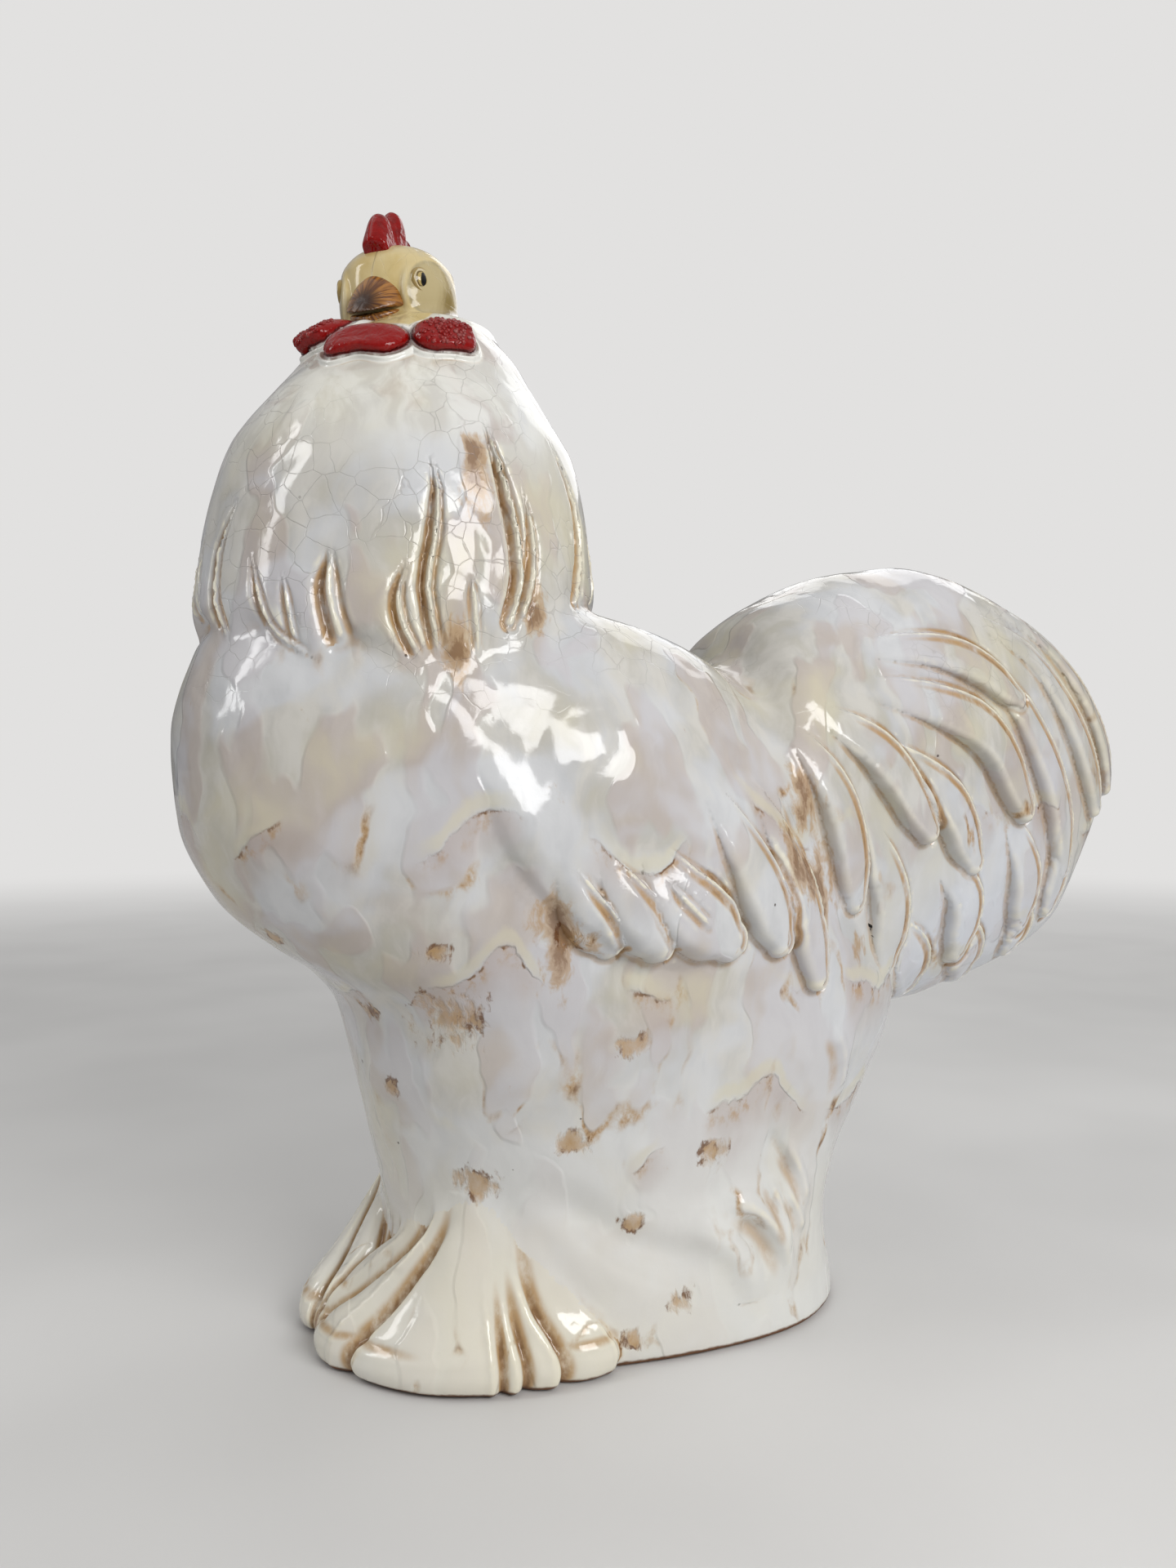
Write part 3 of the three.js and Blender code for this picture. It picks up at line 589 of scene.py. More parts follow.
def uneven(x, y, z):
    return (.32 * np.sin(x / 23 + z / 31 + 1.3) * np.sin(y / 27 - z / 19)
            + .26 * np.sin(x / 13 - y / 17 + 2.1) * np.sin(z / 14 + y / 29)
            + .10 * np.sin(x / 6.5 + 1.7 * np.sin(z / 9)) * np.sin(z / 8 + y / 7))


def only_where(mask, field, x, y, z):
    d, g = np.full(x.shape, FAR), np.zeros(x.shape)
    if mask.any():
        d[mask], g[mask] = field(x[mask], y[mask], z[mask])
    return d, g


def forms(x, y, z):
    relief, wing_groove = wing_relief(x, y, z)
    torso = torso_gap(x, y, z)
    body = torso - relief
    neck, neck_groove = only_where((z > 296) & (y < 20), neck_field, x, y, z)
    tail, tail_groove = only_where((y > 40) & (z > 115), tail_field, x, y, z)
    foot, foot_groove = only_where((z < 100) & (y < 70), foot_field, x, y, z)
    return torso, body, neck, tail, foot, (wing_groove, neck_groove, tail_groove, foot_groove)


def marks(x, y, z):
    """How strongly a point is marked by a pad or a stroke."""
    *gaps, grooves = forms(x, y, z)
    return np.where(np.min(gaps[1:], 0) < 3, np.max(grooves, 0), 0)


def sculpture(x, y, z):
    torso, body, neck, tail, foot, _ = forms(x, y, z)
    head, _ = only_where(z > 462, head_field, x, y, z)
    d = joined(body, tail, 11)
    d = joined(d, foot, 7)
    d = joined(d, neck, 6)
    d = joined(d, head, 5) - ruff_height(x, y, z)
    d = cut_by(d - uneven(x, y, z), -z, 5)
    recess = cut_by(torso + SLAB_GAP, z - SLAB_ROOF, 1)
    return np.maximum(d, -recess)


# %% [markdown]
# ## From a field to a mesh
# The skin is found on a grid, but only near the clay: a coarse look first, then a fine one.
# Each small cell that the skin passes through gets one point, and points of neighbouring
# cells are tied into faces. The points are then evened out and pushed onto the true skin.

# %% Grid to faces
def in_batches(field, points):
    return np.concatenate([field(*points[i:i + BATCH].T) for i in range(0, len(points), BATCH)])


def grid_values(field, low, counts, step, coarse=4):
    blocks = [n // coarse + 2 for n in counts]
    axes = [low[a] + np.arange(blocks[a] + 1) * coarse * step for a in range(3)]
    spots = np.stack(np.meshgrid(*axes, indexing="ij"), -1).reshape(-1, 3)
    rough = in_batches(field, spots).reshape([b + 1 for b in blocks])
    corners = [rough[i:blocks[0] + i, j:blocks[1] + j, k:blocks[2] + k]
               for i in (0, 1) for j in (0, 1) for k in (0, 1)]
    near = np.min(np.abs(corners), axis=0) < 1.25 * coarse * step
    at = [np.arange(n) // coarse for n in counts]
    values = np.where(rough[np.ix_(*at)] < 0, -FAR, FAR)
    todo = np.argwhere(near[np.ix_(*at)])
    values[tuple(todo.T)] = in_batches(field, low + todo * step)
    return untangled(values)


def untangled(values):
    """Fills one corner of every cell side where two skins would touch along an edge."""
    for _ in range(12):
        found = 0
        for one, two in ((0, 1), (1, 2), (0, 2)):
            def corner(i, j):
                at = [slice(None)] * 3
                at[one] = slice(i, values.shape[one] - 1 + i)
                at[two] = slice(j, values.shape[two] - 1 + j)
                return values[tuple(at)]
            a, b, c, d = corner(0, 0), corner(1, 0), corner(1, 1), corner(0, 1)
            for (p, q), (r, t) in (((a, c), (b, d)), ((b, d), (a, c))):
                spot = np.nonzero((p < 0) & (q < 0) & (r >= 0) & (t >= 0))
                found += len(spot[0])
                nearer = r[spot] < t[spot]
                r[spot] = np.where(nearer, -1e-3, r[spot])
                t[spot] = np.where(nearer, t[spot], -1e-3)
        if not found:
            break
    return values


def nets(values, low, step):
    inside = values < 0
    cells = np.zeros([n - 1 for n in values.shape], np.uint8)
    for i in (0, 1):
        for j in (0, 1):
            for k in (0, 1):
                cells += inside[i:i + cells.shape[0], j:j + cells.shape[1], k:k + cells.shape[2]]
    spots = np.argwhere((cells > 0) & (cells < 8))
    name = np.full(cells.shape, -1, np.int32)
    name[tuple(spots.T)] = np.arange(len(spots))
    total, hits = np.zeros((len(spots), 3)), np.zeros(len(spots))
    corner = np.array([(i, j, k) for i in (0, 1) for j in (0, 1) for k in (0, 1)])
    value = [values[tuple((spots + c).T)] for c in corner]
    for a in range(8):
        for b in range(a + 1, 8):
            if np.abs(corner[a] - corner[b]).sum() != 1:
                continue
            crossed = (value[a] < 0) != (value[b] < 0)
            t = value[a] / np.where(crossed, value[a] - value[b], 1)
            total += np.where(crossed[:, None], corner[a] + t[:, None] * (corner[b] - corner[a]), 0)
            hits += crossed
    points = low + (spots + total / hits[:, None]) * step
    faces = []
    for axis in range(3):
        one, two = [a for a in range(3) if a != axis]
        lead = [slice(1, n - 1) for n in values.shape]
        lead[axis] = slice(0, values.shape[axis] - 1)
        shifted = list(lead)
        shifted[axis] = slice(1, values.shape[axis])
        here, there = inside[tuple(lead)], inside[tuple(shifted)]
        for found, flip in ((here & ~there, axis == 1), (~here & there, axis != 1)):
            edge = np.argwhere(found)
            edge[:, one] += 1
            edge[:, two] += 1
            quad = []
            for p, q in ((1, 1), (0, 1), (0, 0), (1, 0)):
                cell = edge.copy()
                cell[:, one] -= p
                cell[:, two] -= q
                quad.append(name[tuple(cell.T)])
            quad = np.stack(quad, 1)
            faces.append(quad[:, ::-1] if flip else quad)
    return points, np.concatenate(faces)


# %% Evening out and pushing onto the skin
def ties(faces, count):
    a, b = faces.ravel(), np.roll(faces, -1, 1).ravel()
    start, end = np.concatenate([a, b]), np.concatenate([b, a])
    share = np.bincount(start, minlength=count)

    def average(value):
        return np.stack([np.bincount(start, v[end], count) for v in value.T], 1) / share[:, None]
    return average


def unit(slope):
    return slope / np.linalg.norm(slope, axis=1)[:, None].clip(1e-6)


def pushed(field, points, step):
    """The points, moved to the skin by no more than a step."""
    base, slope = slopes(field, points)
    size = np.maximum((slope ** 2).sum(1), .05)
    return points - np.clip(base / size, -step, step)[:, None] * slope


def slopes(field, points, step=.25):
    base = in_batches(field, points)
    grown = [in_batches(field, points + np.eye(3)[a] * step) - base for a in range(3)]
    return base, np.stack(grown, 1) / step


def skin(field, low, high, step, rounds=2):
    low = np.array(low, float) - 2 * step
    counts = np.ceil((np.array(high) + 2 * step - low) / step).astype(int) + 1
    points, faces = nets(grid_values(field, low, counts, step), low, step)
    average = ties(faces, len(points))
    for turn in range(rounds + 1):
        if turn < rounds:
            points = points + .6 * (average(points) - points)
        points = pushed(field, points, step)
    return points, faces, unit(slopes(field, points)[1])


# %% [markdown]
# ## Finer clay for the face
# The face needs a finer skin than the breast, and so does the clay beside a pad or a stroke.
# Cells there are split in four, twice for the head, and their points pushed onto the skin
# again. Where fine and coarse cells meet, the coarse one takes the extra point as a corner of
# its own, so the skin stays closed.

# %% Split the cells of a region
def side_names(quads, count):
    """One number for each side of each cell, the same from both of its cells."""
    a, b = quads, np.roll(quads, -1, 1)
    return np.minimum(a, b).astype(np.int64) * count + np.maximum(a, b)


def refine(points, quads, chosen):
    names, place = np.unique(side_names(quads[chosen], len(points)).ravel(), return_inverse=True)
    middles = (points[names // len(points)] + points[names % len(points)]) / 2
    mid = len(points) + place.reshape(-1, 4)
    centre = len(points) + len(names) + np.arange(chosen.sum())
    corner = quads[chosen]
    fine = [np.stack([corner[:, k], mid[:, k], centre, mid[:, k - 1]], 1) for k in range(4)]
    kept = quads[~chosen]
    key = side_names(kept, len(points))
    at = np.clip(np.searchsorted(names, key), 0, len(names) - 1)
    hit = names[at] == key
    odd = []
    for row in np.flatnonzero(hit.any(1)):
        poly = []
        for k in range(4):
            poly.append(kept[row, k])
            if hit[row, k]:
                poly.append(len(points) + at[row, k])
        odd.append(poly)
    points = np.concatenate([points, middles, points[corner].mean(1)])
    return points, np.concatenate([kept[~hit.any(1)]] + fine), odd


def triangles(points, quads, odd=()):
    """Cuts every quad along its shorter diagonal, and fans the others from an extra corner."""
    a, b, c, d = quads.T
    first_way, other_way = points[a] - points[c], points[b] - points[d]
    short = (np.linalg.norm(first_way, axis=1) < np.linalg.norm(other_way, axis=1))[:, None]
    first = np.where(short, np.stack([a, b, c], 1), np.stack([a, b, d], 1))
    second = np.where(short, np.stack([a, c, d], 1), np.stack([b, c, d], 1))
    rest = []
    for poly in odd:
        lead = int(np.argmax(poly))
        poly = poly[lead:] + poly[:lead]
        rest += [(poly[0], poly[i], poly[i + 1]) for i in range(1, len(poly) - 1)]
    return np.concatenate([first, second] + ([np.array(rest)] if rest else []))


def on_skin(field, points, step):
    for _ in range(2):
        points = pushed(field, points, step)
    return points, unit(slopes(field, points)[1])


# %% Sculpt the body
CLAY_BOX = (-116, -202, 0), (116, 372, 530)
THROAT_LEVEL, FACE_LEVEL, FAINTEST_MARK = 430, 444, .04
points, quads, normals = skin(sculpture, *CLAY_BOX, GRAIN)
marked = in_batches(marks, points)
chosen = (points[quads][:, :, 2].min(1) > THROAT_LEVEL) | (marked[quads].max(1) > FAINTEST_MARK)
points, quads, odd = refine(points, quads, chosen)
near_face = points[quads][:, :, 2].min(1) > FACE_LEVEL
points, quads, more = refine(points, quads, near_face)
faces = triangles(points, quads, odd + more)
average = ties(faces, len(points))
fresh = np.arange(len(points)) >= len(normals)
for _ in range(2):
    moved = points + .5 * (average(points) - points)
    points[fresh], normals_fresh = on_skin(sculpture, moved[fresh], GRAIN / 2)
normals = np.concatenate([normals, normals_fresh])
print("body skin", len(points), "points", len(faces), "faces")

# %% [markdown]
# ## Cutting the skin into clay parts
# Every point of the skin gets the name of the form nearest to it, or of the pad that lies on
# top there. A form with a wide seam is closed with a fan of faces to a point deep inside, and
# its neighbour gets the same fan from the other side. A pad is closed by a copy of its skin a
# few millimetres deeper, and that copy is also the bed in the part that carries the pad. So
# the parts fit each other exactly, as luted clay does.

# %% Names on the skin
TORSO, NECK, TAIL, HEAD = range(4)
BASES = ["body_shell", "neck_hackle", "tail_shell", "head"]
PADS = (["foot_left", "foot_right", "wing_left", "wing_right"] + [r[0] for r in RUFF]
        + [f"{n}_{s}" for n in TAIL_NAMES if n for s in ("left", "right")])
FIRST_PAD, FIRST_WING, FIRST_RUFF = 4, 6, 8
PARENT = dict.fromkeys(PADS, TAIL)
PARENT.update(foot_left=TORSO, foot_right=TORSO, wing_left=TORSO, wing_right=TORSO)
PARENT.update({r[0]: NECK for r in RUFF})
# how deep each pad is let into the clay below it
THICK = dict.fromkeys(PADS, 2.0)
THICK.update(foot_left=2.5, foot_right=2.5, wing_left=3.0, wing_right=3.0)
NAMES = BASES + PADS


def pad_owner(y, z, pads, **shape):
    """The number of the pad that lies on top at a point, or -1."""
    owner = np.full(y.shape, -1)
    press_pads(y, z, pads, np.zeros(y.shape), np.zeros(y.shape), owner=owner, **shape)
    return owner


def name_points(x, y, z):
    _, body, neck, tail, foot, grooves = forms(x, y, z)
    head = np.where(z > 440, head_field(x, y, z)[0], FAR)
    label = np.argmin([body, neck, tail, head, foot], 0)
    groove = np.choose(label, [grooves[0], grooves[1], grooves[2], 0 * z, grooves[3]])
    label = np.where(label == FIRST_PAD, FIRST_PAD + (x < 0), label)
    feather_end = pad_owner(y, z, WING_PADS, bevel=WING_BEVEL, tilt=WING_TILT) >= 0
    wing = feather_end | (shoulder_place(y, z)[2] < .98)
    label = np.where((label == TORSO) & wing & (np.abs(x) > 60), FIRST_WING + (x < 0), label)
    deep, which = ruff_pads(x, y, z)
    near = before_throat(x, y, z, 0)
    label = np.where(near & (deep > 0) & np.isin(label, (NECK, HEAD)), FIRST_RUFF + which, label)
    feathers = [PADS.index(n + "_left") + FIRST_PAD if n else -1 for n in TAIL_NAMES] + [-1]
    feather = np.array(feathers)[pad_owner(y, z, TAIL_PADS)]
    label = np.where((label == TAIL) & (feather >= 0) & (np.abs(x) > 14), feather + (x < 0), label)
    return label, groove, np.where(near, np.clip(deep, -6, 6), -6)


found = [name_points(*points[i:i + BATCH].T) for i in range(0, len(points), BATCH)]
label, groove, red = (np.concatenate(column) for column in zip(*found))

# %% Each part one plain patch
start, end = faces.ravel(), np.roll(faces, -1, 1).ravel()
face = np.repeat(np.arange(len(faces)), 3)
count = len(points)
face_label = np.median(label[faces], 1).astype(int)
key, back = start * count + end, end * count + start
order = np.argsort(key)
across = face[order[np.searchsorted(key[order], back)]]


def isles(face_label):
    """The number of the connected patch that each face belongs to."""
    same = face_label[face] == face_label[across]
    a, b = face[same], across[same]
    isle = np.arange(len(face_label))
    while True:
        one, two = isle[a], isle[b]
        if (one == two).all():
            return isle
        np.minimum.at(isle, np.maximum(one, two), np.minimum(one, two))
        while (isle[isle] != isle).any():
            isle = isle[isle]


def settle(face_label):
    """Gives crumbs and ears of a name to their neighbours, so that each part is one patch."""
    for turn in range(60):
        isle = isles(face_label)
        size = np.bincount(isle, minlength=len(isle))
        root = np.flatnonzero(size)
        root = root[np.lexsort((-size[root], face_label[root]))]
        keep = root[np.concatenate([[True], np.diff(face_label[root]) > 0])]
        rim = face_label[face] != face_label[across]
        loose = ~np.isin(isle, keep)
        if turn < 8:
            loose |= np.bincount(face[rim], minlength=len(isle)) > 1
        swap = rim & loose[face] & ~(loose[across] & (face_label[face] > face_label[across]))
        changed = face_label.copy()
        changed[face[swap]] = face_label[across[swap]]
        knot = np.zeros(count, bool)
        for name in (face_label, parent[face_label]):
            edge = name[face] != name[across]
            spot, times = np.unique(start[edge] * 64 + name[face[edge]], return_counts=True)
            knot[spot[times > 1] // 64] = True
        least = np.full(count, 99)
        np.minimum.at(least, start, face_label[face])
        tied = knot[start]
        if not swap.any() and not tied.any():
            break
        changed[face[tied]] = least[start[tied]]
        face_label = changed
    print("settled in", turn, "rounds, knots left", int(knot.sum()))
    return face_label


parent = np.array([0, 1, 2, 3] + [PARENT[n] for n in PADS])
face_label = settle(face_label)
print("parts", len(np.unique(face_label)), "of", len(NAMES))

# %% [markdown]
# ## What the glaze needs to know
# A runny glaze thins on every crest and pools in every dip, so each point keeps how sharply
# the clay bends there; the white glaze also turns it into a painted highlight on crests and
# painted shade in dips. It also keeps how near it is to the few bare and brown places that the
# real glaze has, to the grooves, and to the red paint of the ruff.

# %% Bends and spots
# x, y, z and radius of each spot on the left; a shifted copy lies on the right
BARE_SPOTS = [(87, -103, 194, 6), (76, -92, 162, 15), (35, -158, 198, 6), (36, -121, 163, 8),
              (103, -47, 199, 7), (37, -106, 127, 7), (62, -74, 86, 9), (85, -39, 106, 7),
              (99, -16, 150, 7), (88, 30, 94, 9), (84, -8, 65, 6), (86, 15, 27, 7), (83, -6, 12, 6)]
BROWN_SPOTS = [(95, -95, 320, 6), (87, -58, 336, 6), (85, -84, 402, 5), (87, -84, 388, 6),
               (101, -52, 204, 10), (99, 69, 226, 8), (94, 80, 219, 8), (87, 92, 212, 8),
               (84, 84, 252, 7), (79, 98, 214, 7), (104, -38, 205, 6), (70, 120, 176, 7)]
BARE_SPOTS += [(-x, y + 14, z - 9, r) for x, y, z, r in BARE_SPOTS]
BROWN_SPOTS += [(-x, y - 9, z + 6, r) for x, y, z, r in BROWN_SPOTS]


def bends(points, faces, normals):
    """Positive in a dip, negative on a crest, about one over the radius in millimetres."""
    average = ties(faces, len(points))
    a, b = faces.ravel(), np.roll(faces, -1, 1).ravel()
    long = ((points[a] - points[b]) ** 2).sum(1)
    size = np.bincount(a, long, len(points)) / np.maximum(np.bincount(a, minlength=len(points)), 1)
    bend = 2 * ((average(points) - points) * normals).sum(1) / np.maximum(size, .05)
    for _ in range(3):
        bend = .5 * bend + .5 * average(bend[:, None])[:, 0]
    return np.clip(bend, -1, 1)


def spotted(points, spots, tall=1.0):
    """One in the middle of a spot, a half on its rim. A spot is `tall` times as high as wide."""
    value = np.zeros(len(points))
    for *spot, radius in spots:
        away = np.linalg.norm((points - spot) / (1, 1, tall), axis=1)
        value = np.maximum(value, 1 - away / (2 * radius))
    return value


PAINT_LEVEL, PAINT_BACK, PAINT_HALF = 462, 13, 30
NO_CHEEK, CHEEK_LEVEL = 60, 470


def face_depth(x, y, z):
    """How far inside the painted face a point is, in millimetres."""
    across, behind, _ = from_head(x, y, z)
    inside = np.minimum(np.minimum(z - PAINT_LEVEL, PAINT_BACK - behind), PAINT_HALF - np.abs(across))
    return np.clip(inside, -9, 9)


def cheek_distance(x, y, z):
    """How far a point is from the middle of the nearer cheek."""
    _, b, c = from_cheek(*from_head(x, y, z))
    return np.clip(np.hypot(b, c), 0, NO_CHEEK) + NO_CHEEK * (z < CHEEK_LEVEL)


# %% Closing each part
SEAM_APEX = {(TORSO, NECK): (0, -90, 325), (TORSO, TAIL): (0, 78, 235), (NECK, HEAD): (0, -88, 484)}
bed_points, bed_normals, beds = [], [], {}
for k, name in enumerate(PADS, FIRST_PAD):
    mine = face_label[face] == k
    rim = mine & (face_label[across] != k)
    ring = np.full(count, 99.0)
    ring[start[rim]] = 0
    for _ in range(7):
        np.minimum.at(ring, end[mine], ring[start[mine]] + 1)
        np.minimum.at(ring, start[mine], ring[end[mine]] + 1)
    used = np.unique(start[mine])
    copy = np.full(count, -1)
    copy[used] = count + sum(map(len, bed_points)) + np.arange(len(used))
    depth = .2 + THICK[name] * ease(ring[used], 0, 5)
    bed_points.append(points[used] - normals[used] * depth[:, None])
    bed_normals.append(normals[used])
    beds[k] = copy
apexes = list(SEAM_APEX)
all_points = np.concatenate([points] + bed_points + [np.array([SEAM_APEX[s] for s in apexes], float)])
all_normals = np.concatenate([normals] + bed_normals + [np.tile([0.0, 0, 1], (len(apexes), 1))])
first_apex = len(all_points) - len(apexes)
filler = len(all_points) - count
bare, brown = spotted(points, BARE_SPOTS, .8), spotted(points, BROWN_SPOTS, 2.2)
MARKS = {name: np.pad(values, (0, filler)) for name, values in (
    ("groove", groove), ("bend", bends(points, faces, normals)), ("bare", bare), ("brown", brown))}
MARKS["red"] = np.pad(red, (0, filler), constant_values=-6)
MARKS["face"] = np.pad(face_depth(*points.T), (0, filler), constant_values=-9)
MARKS["lid"] = np.pad(cheek_distance(*points.T), (0, filler), constant_values=NO_CHEEK)


def part_faces(k):
    """The faces of part k: its own skin, then beds and their walls, or backs, or fans."""
    sets = [faces[face_label == k]]
    is_pad = k >= FIRST_PAD
    for pad in [k] if is_pad else [p for p in np.flatnonzero(parent == k) if p >= FIRST_PAD]:
        low = beds[pad][faces[face_label == pad]]
        rim = (face_label[face] == pad) & (face_label[across] != pad)
        a, b = start[rim], end[rim]
        a_low, b_low = beds[pad][a], beds[pad][b]
        walls = np.concatenate([np.stack([b, a, a_low], 1), np.stack([b, a_low, b_low], 1)])
        sets += [low[:, ::-1], walls] if is_pad else [low, walls[:, ::-1]]
    if not is_pad:
        rim = (parent[face_label[face]] == k) & (parent[face_label[across]] != k)
        for s, seam in enumerate(apexes):
            if k in seam:
                edge = rim & (parent[face_label[across]] == sum(seam) - k)
                hub = np.full(edge.sum(), first_apex + s)
                sets.append(np.stack([end[edge], start[edge], hub], 1))
    return np.concatenate(sets)


def build(name, points, faces, normals=None, marks=None):
    """A mesh object from faces that point into a larger list of points, in millimetres."""
    used, place = np.unique(faces, return_inverse=True)
    sides = faces.shape[1]
    mesh = bpy.data.meshes.new(name)
    mesh.vertices.add(len(used))
    mesh.vertices.foreach_set("co", (points[used] * MM).astype(np.float32).ravel())
    mesh.loops.add(place.size)
    mesh.loops.foreach_set("vertex_index", place.ravel().astype(np.int32))
    mesh.polygons.add(len(faces))
    mesh.polygons.foreach_set("loop_start", np.arange(len(faces), dtype=np.int32) * sides)
    mesh.update(calc_edges=True)
    mesh.polygons.foreach_set("use_smooth", np.ones(len(faces), bool))
    for mark, values in (marks or {}).items():
        attribute = mesh.attributes.new(mark, "FLOAT", "POINT")
        attribute.data.foreach_set("value", values[used].astype(np.float32))
    if normals is not None:
        mesh.normals_split_custom_set_from_vertices(normals[used].astype(np.float32))
    thing = bpy.data.objects.new(name, mesh)
    bpy.context.scene.collection.objects.link(thing)
    return thing


body = {}
for k, name in enumerate(NAMES):
    if (face_label == k).any():
        body[name] = build(name + "_clay", all_points, part_faces(k), all_normals, MARKS)
print("body parts", len(body), "faces", sum(len(o.data.polygons) for o in body.values()))

# %% [markdown]
# ## Comb, beak and eyes
# These are small pieces of clay that were put on last. The comb is a fin of three lobes: its
# outline is a line over the head, and its sides swell from the rim like a pad. The beak is two
# half shells that meet at the mouth, the upper one hooked. An eye is a disc with a raised rim.

# %% Comb
COMB_FOOT, COMB_HALF, COMB_FLARE = 13, 5.7, .9
# where a valley between two lobes is, and how deep
COMB_VALLEYS = [(-9.5, 1.1), (5.6, .8)]
comb_top = curve((-24.5, -8), (-23, 5), (-20.5, 14), (-17, 18.5), (-14, 19.2), (-11.5, 18.2),
                 (-9.5, 17.2), (-7, 21), (-4, 25.3), (-1.5, 25.6), (1.5, 23.8), (4, 19.5),
                 (5.6, 17.6), (8, 17.2), (10.8, 13), (12.6, 4), (13.6, -8))


def comb_field(x, y, z):
    x, y, z = from_head(x, y, z)
    up = z - COMB_FOOT
    slope = comb_top(y + .5) - comb_top(y - .5)
    rim = (comb_top(y) - up) / np.sqrt(1 + slope * slope)
    valley = sum(depth * ridge(y - spot, 1.3) for spot, depth in COMB_VALLEYS)
    half = COMB_HALF + COMB_FLARE * ease(-up, -12, 0) - valley * ease(up, 2, 12)
    side = np.abs(x) - half * bulge(np.clip(rim / 8, 0, 1))
    d = np.where(rim < 0, np.hypot(np.abs(x), rim), np.maximum(side * .8, -rim))
    return cut_by(d, COMB_FOOT - 5.5 + 8 * ease(-y, 12, 23) - z, 3)


# %% Beak
BEAK_SET, MOUTH_DROP, BEAK_HOOK = 10, -14.0, 6.5
BEAK_FULLNESS, TIP_FULLNESS, BEAK_TIP_REACH = 1.75, 2.1, 34


def beak_half(up, height, length, half):
    def field(x, y, z):
        x, y, z = from_head(x, y, z)
        share = np.clip((-BEAK_SET - y) / length, 0, .999)
        taper = np.maximum((1 - share ** TIP_FULLNESS) ** (1 / TIP_FULLNESS), .05)
        z = z - MOUTH_DROP + BEAK_HOOK * share ** 2
        wide, tall = np.abs(x / (half * taper)), np.abs(z / (height * taper))
        size = (wide ** BEAK_FULLNESS + tall ** BEAK_FULLNESS) ** (1 / BEAK_FULLNESS)
        shell = (size - 1) * np.minimum(half, height) * taper * .8
        shell = np.maximum(shell, -BEAK_SET - y - length)
        d = cut_by(shell, .25 - up * z, 1.6)
        return cut_by(d, y + BEAK_SET - 4, 1)
    return field


def small_skin(name, field, middle, reach, step):
    spot = np.array(middle, float)
    points, quads, normals = skin(field, spot - reach, spot + reach, step)
    faces = triangles(points, quads)
    reach, around = beak_marks(*from_head(*points.T))
    return build(name, points, faces, normals, {"bend": bends(points, faces, normals),
                                                "reach": reach, "around": around})


def beak_marks(x, y, z):
    """How near the tip of the beak a point is, and where it is round the beak."""
    away = np.sqrt(x ** 2 + (y + BEAK_SET + 20) ** 2 + (z - MOUTH_DROP + 1) ** 2)
    return np.clip(1 - away / BEAK_TIP_REACH, 0, 1), np.arctan2(z - MOUTH_DROP + 1, x)


def at_head(x, y, z):
    c, s = math.cos(HEAD_TURN), math.sin(HEAD_TURN)
    return np.array([c * x - s * y + HEAD_SPOT[0], s * x + c * y + HEAD_SPOT[1], z + HEAD_SPOT[2]])


FINE = .7
comb = small_skin("comb_clay", comb_field, at_head(0, -6, 23), 22, FINE)
beak_upper = small_skin("upper_beak", beak_half(1, 19.5, 20, 16.5), at_head(0, -18, -8), 25, FINE)
beak_lower = small_skin("lower_beak", beak_half(-1, 13, 17.5, 15.5), at_head(0, -17, -21), 22, FINE)

# %% Eyes
# radius and height above the cheek
EYE_PROFILE = [(0, 3.3), (1.2, 3.28), (2.6, 3.0), (3.8, 2.55), (4.7, 2.05), (5.1, 2.0), (5.5, 2.35),
               (6.0, 2.45), (6.5, 2.1), (6.8, 1.3), (6.9, .2), (6.6, -2.5), (0, -2.5)]
EYE_FORWARD, EYE_UP, EYE_SIZE, EYE_SINK, PUPIL_TALL = 8.5, 4.5, .86, 2.3, 1.9


def eye(name, side, turns=48):
    forward, up = EYE_FORWARD / CHEEK_RADII[1], EYE_UP / CHEEK_RADII[2]
    out = CHEEK_RADII[0] * math.sqrt(1 - forward ** 2 - up ** 2)

    def spot(radius, height, angle=0.0):
        return [height + out - EYE_SINK, -EYE_FORWARD + EYE_SIZE * radius * math.sin(angle),
                EYE_UP + EYE_SIZE * radius * math.cos(angle)]
    rings = [np.array([spot(*ring, a) for a in np.arange(turns) * 2 * math.pi / turns])
             for ring in EYE_PROFILE[1:-1]]
    local = np.concatenate(rings + [[spot(*EYE_PROFILE[0])], [spot(*EYE_PROFILE[-1])]])
    c, s = math.cos(CHEEK_TURN), math.sin(CHEEK_TURN)
    x = side * (c * local[:, 0] + s * local[:, 1] + CHEEK_SPOT[0])
    y = c * local[:, 1] - s * local[:, 0] + CHEEK_SPOT[1]
    spots = at_head(x, y, local[:, 2] + CHEEK_SPOT[2]).T
    k = np.arange(turns)
    n = (k + 1) % turns
    last = (len(rings) - 1) * turns
    quads = np.concatenate([np.stack([i + k, i + n, i + turns + n, i + turns + k], 1)
                            for i in range(0, last, turns)])
    top = len(local) - 2
    hub = np.full(turns, top)
    caps = np.concatenate([np.stack([hub, n, k], 1), np.stack([hub + 1, last + k, last + n], 1)])
    shell = np.concatenate([triangles(spots, quads), caps])
    if side < 0:
        shell = shell[:, ::-1]
    disc = np.hypot(local[:, 1] + EYE_FORWARD, local[:, 2] - EYE_UP) / EYE_SIZE
    pupil = np.hypot((local[:, 1] + EYE_FORWARD) * PUPIL_TALL, local[:, 2] - EYE_UP) / EYE_SIZE
    return build(name, spots, shell, None, {"disc": disc, "pupil": pupil})


eyes = {"eye_left": eye("left_eye", 1), "eye_right": eye("right_eye", -1)}

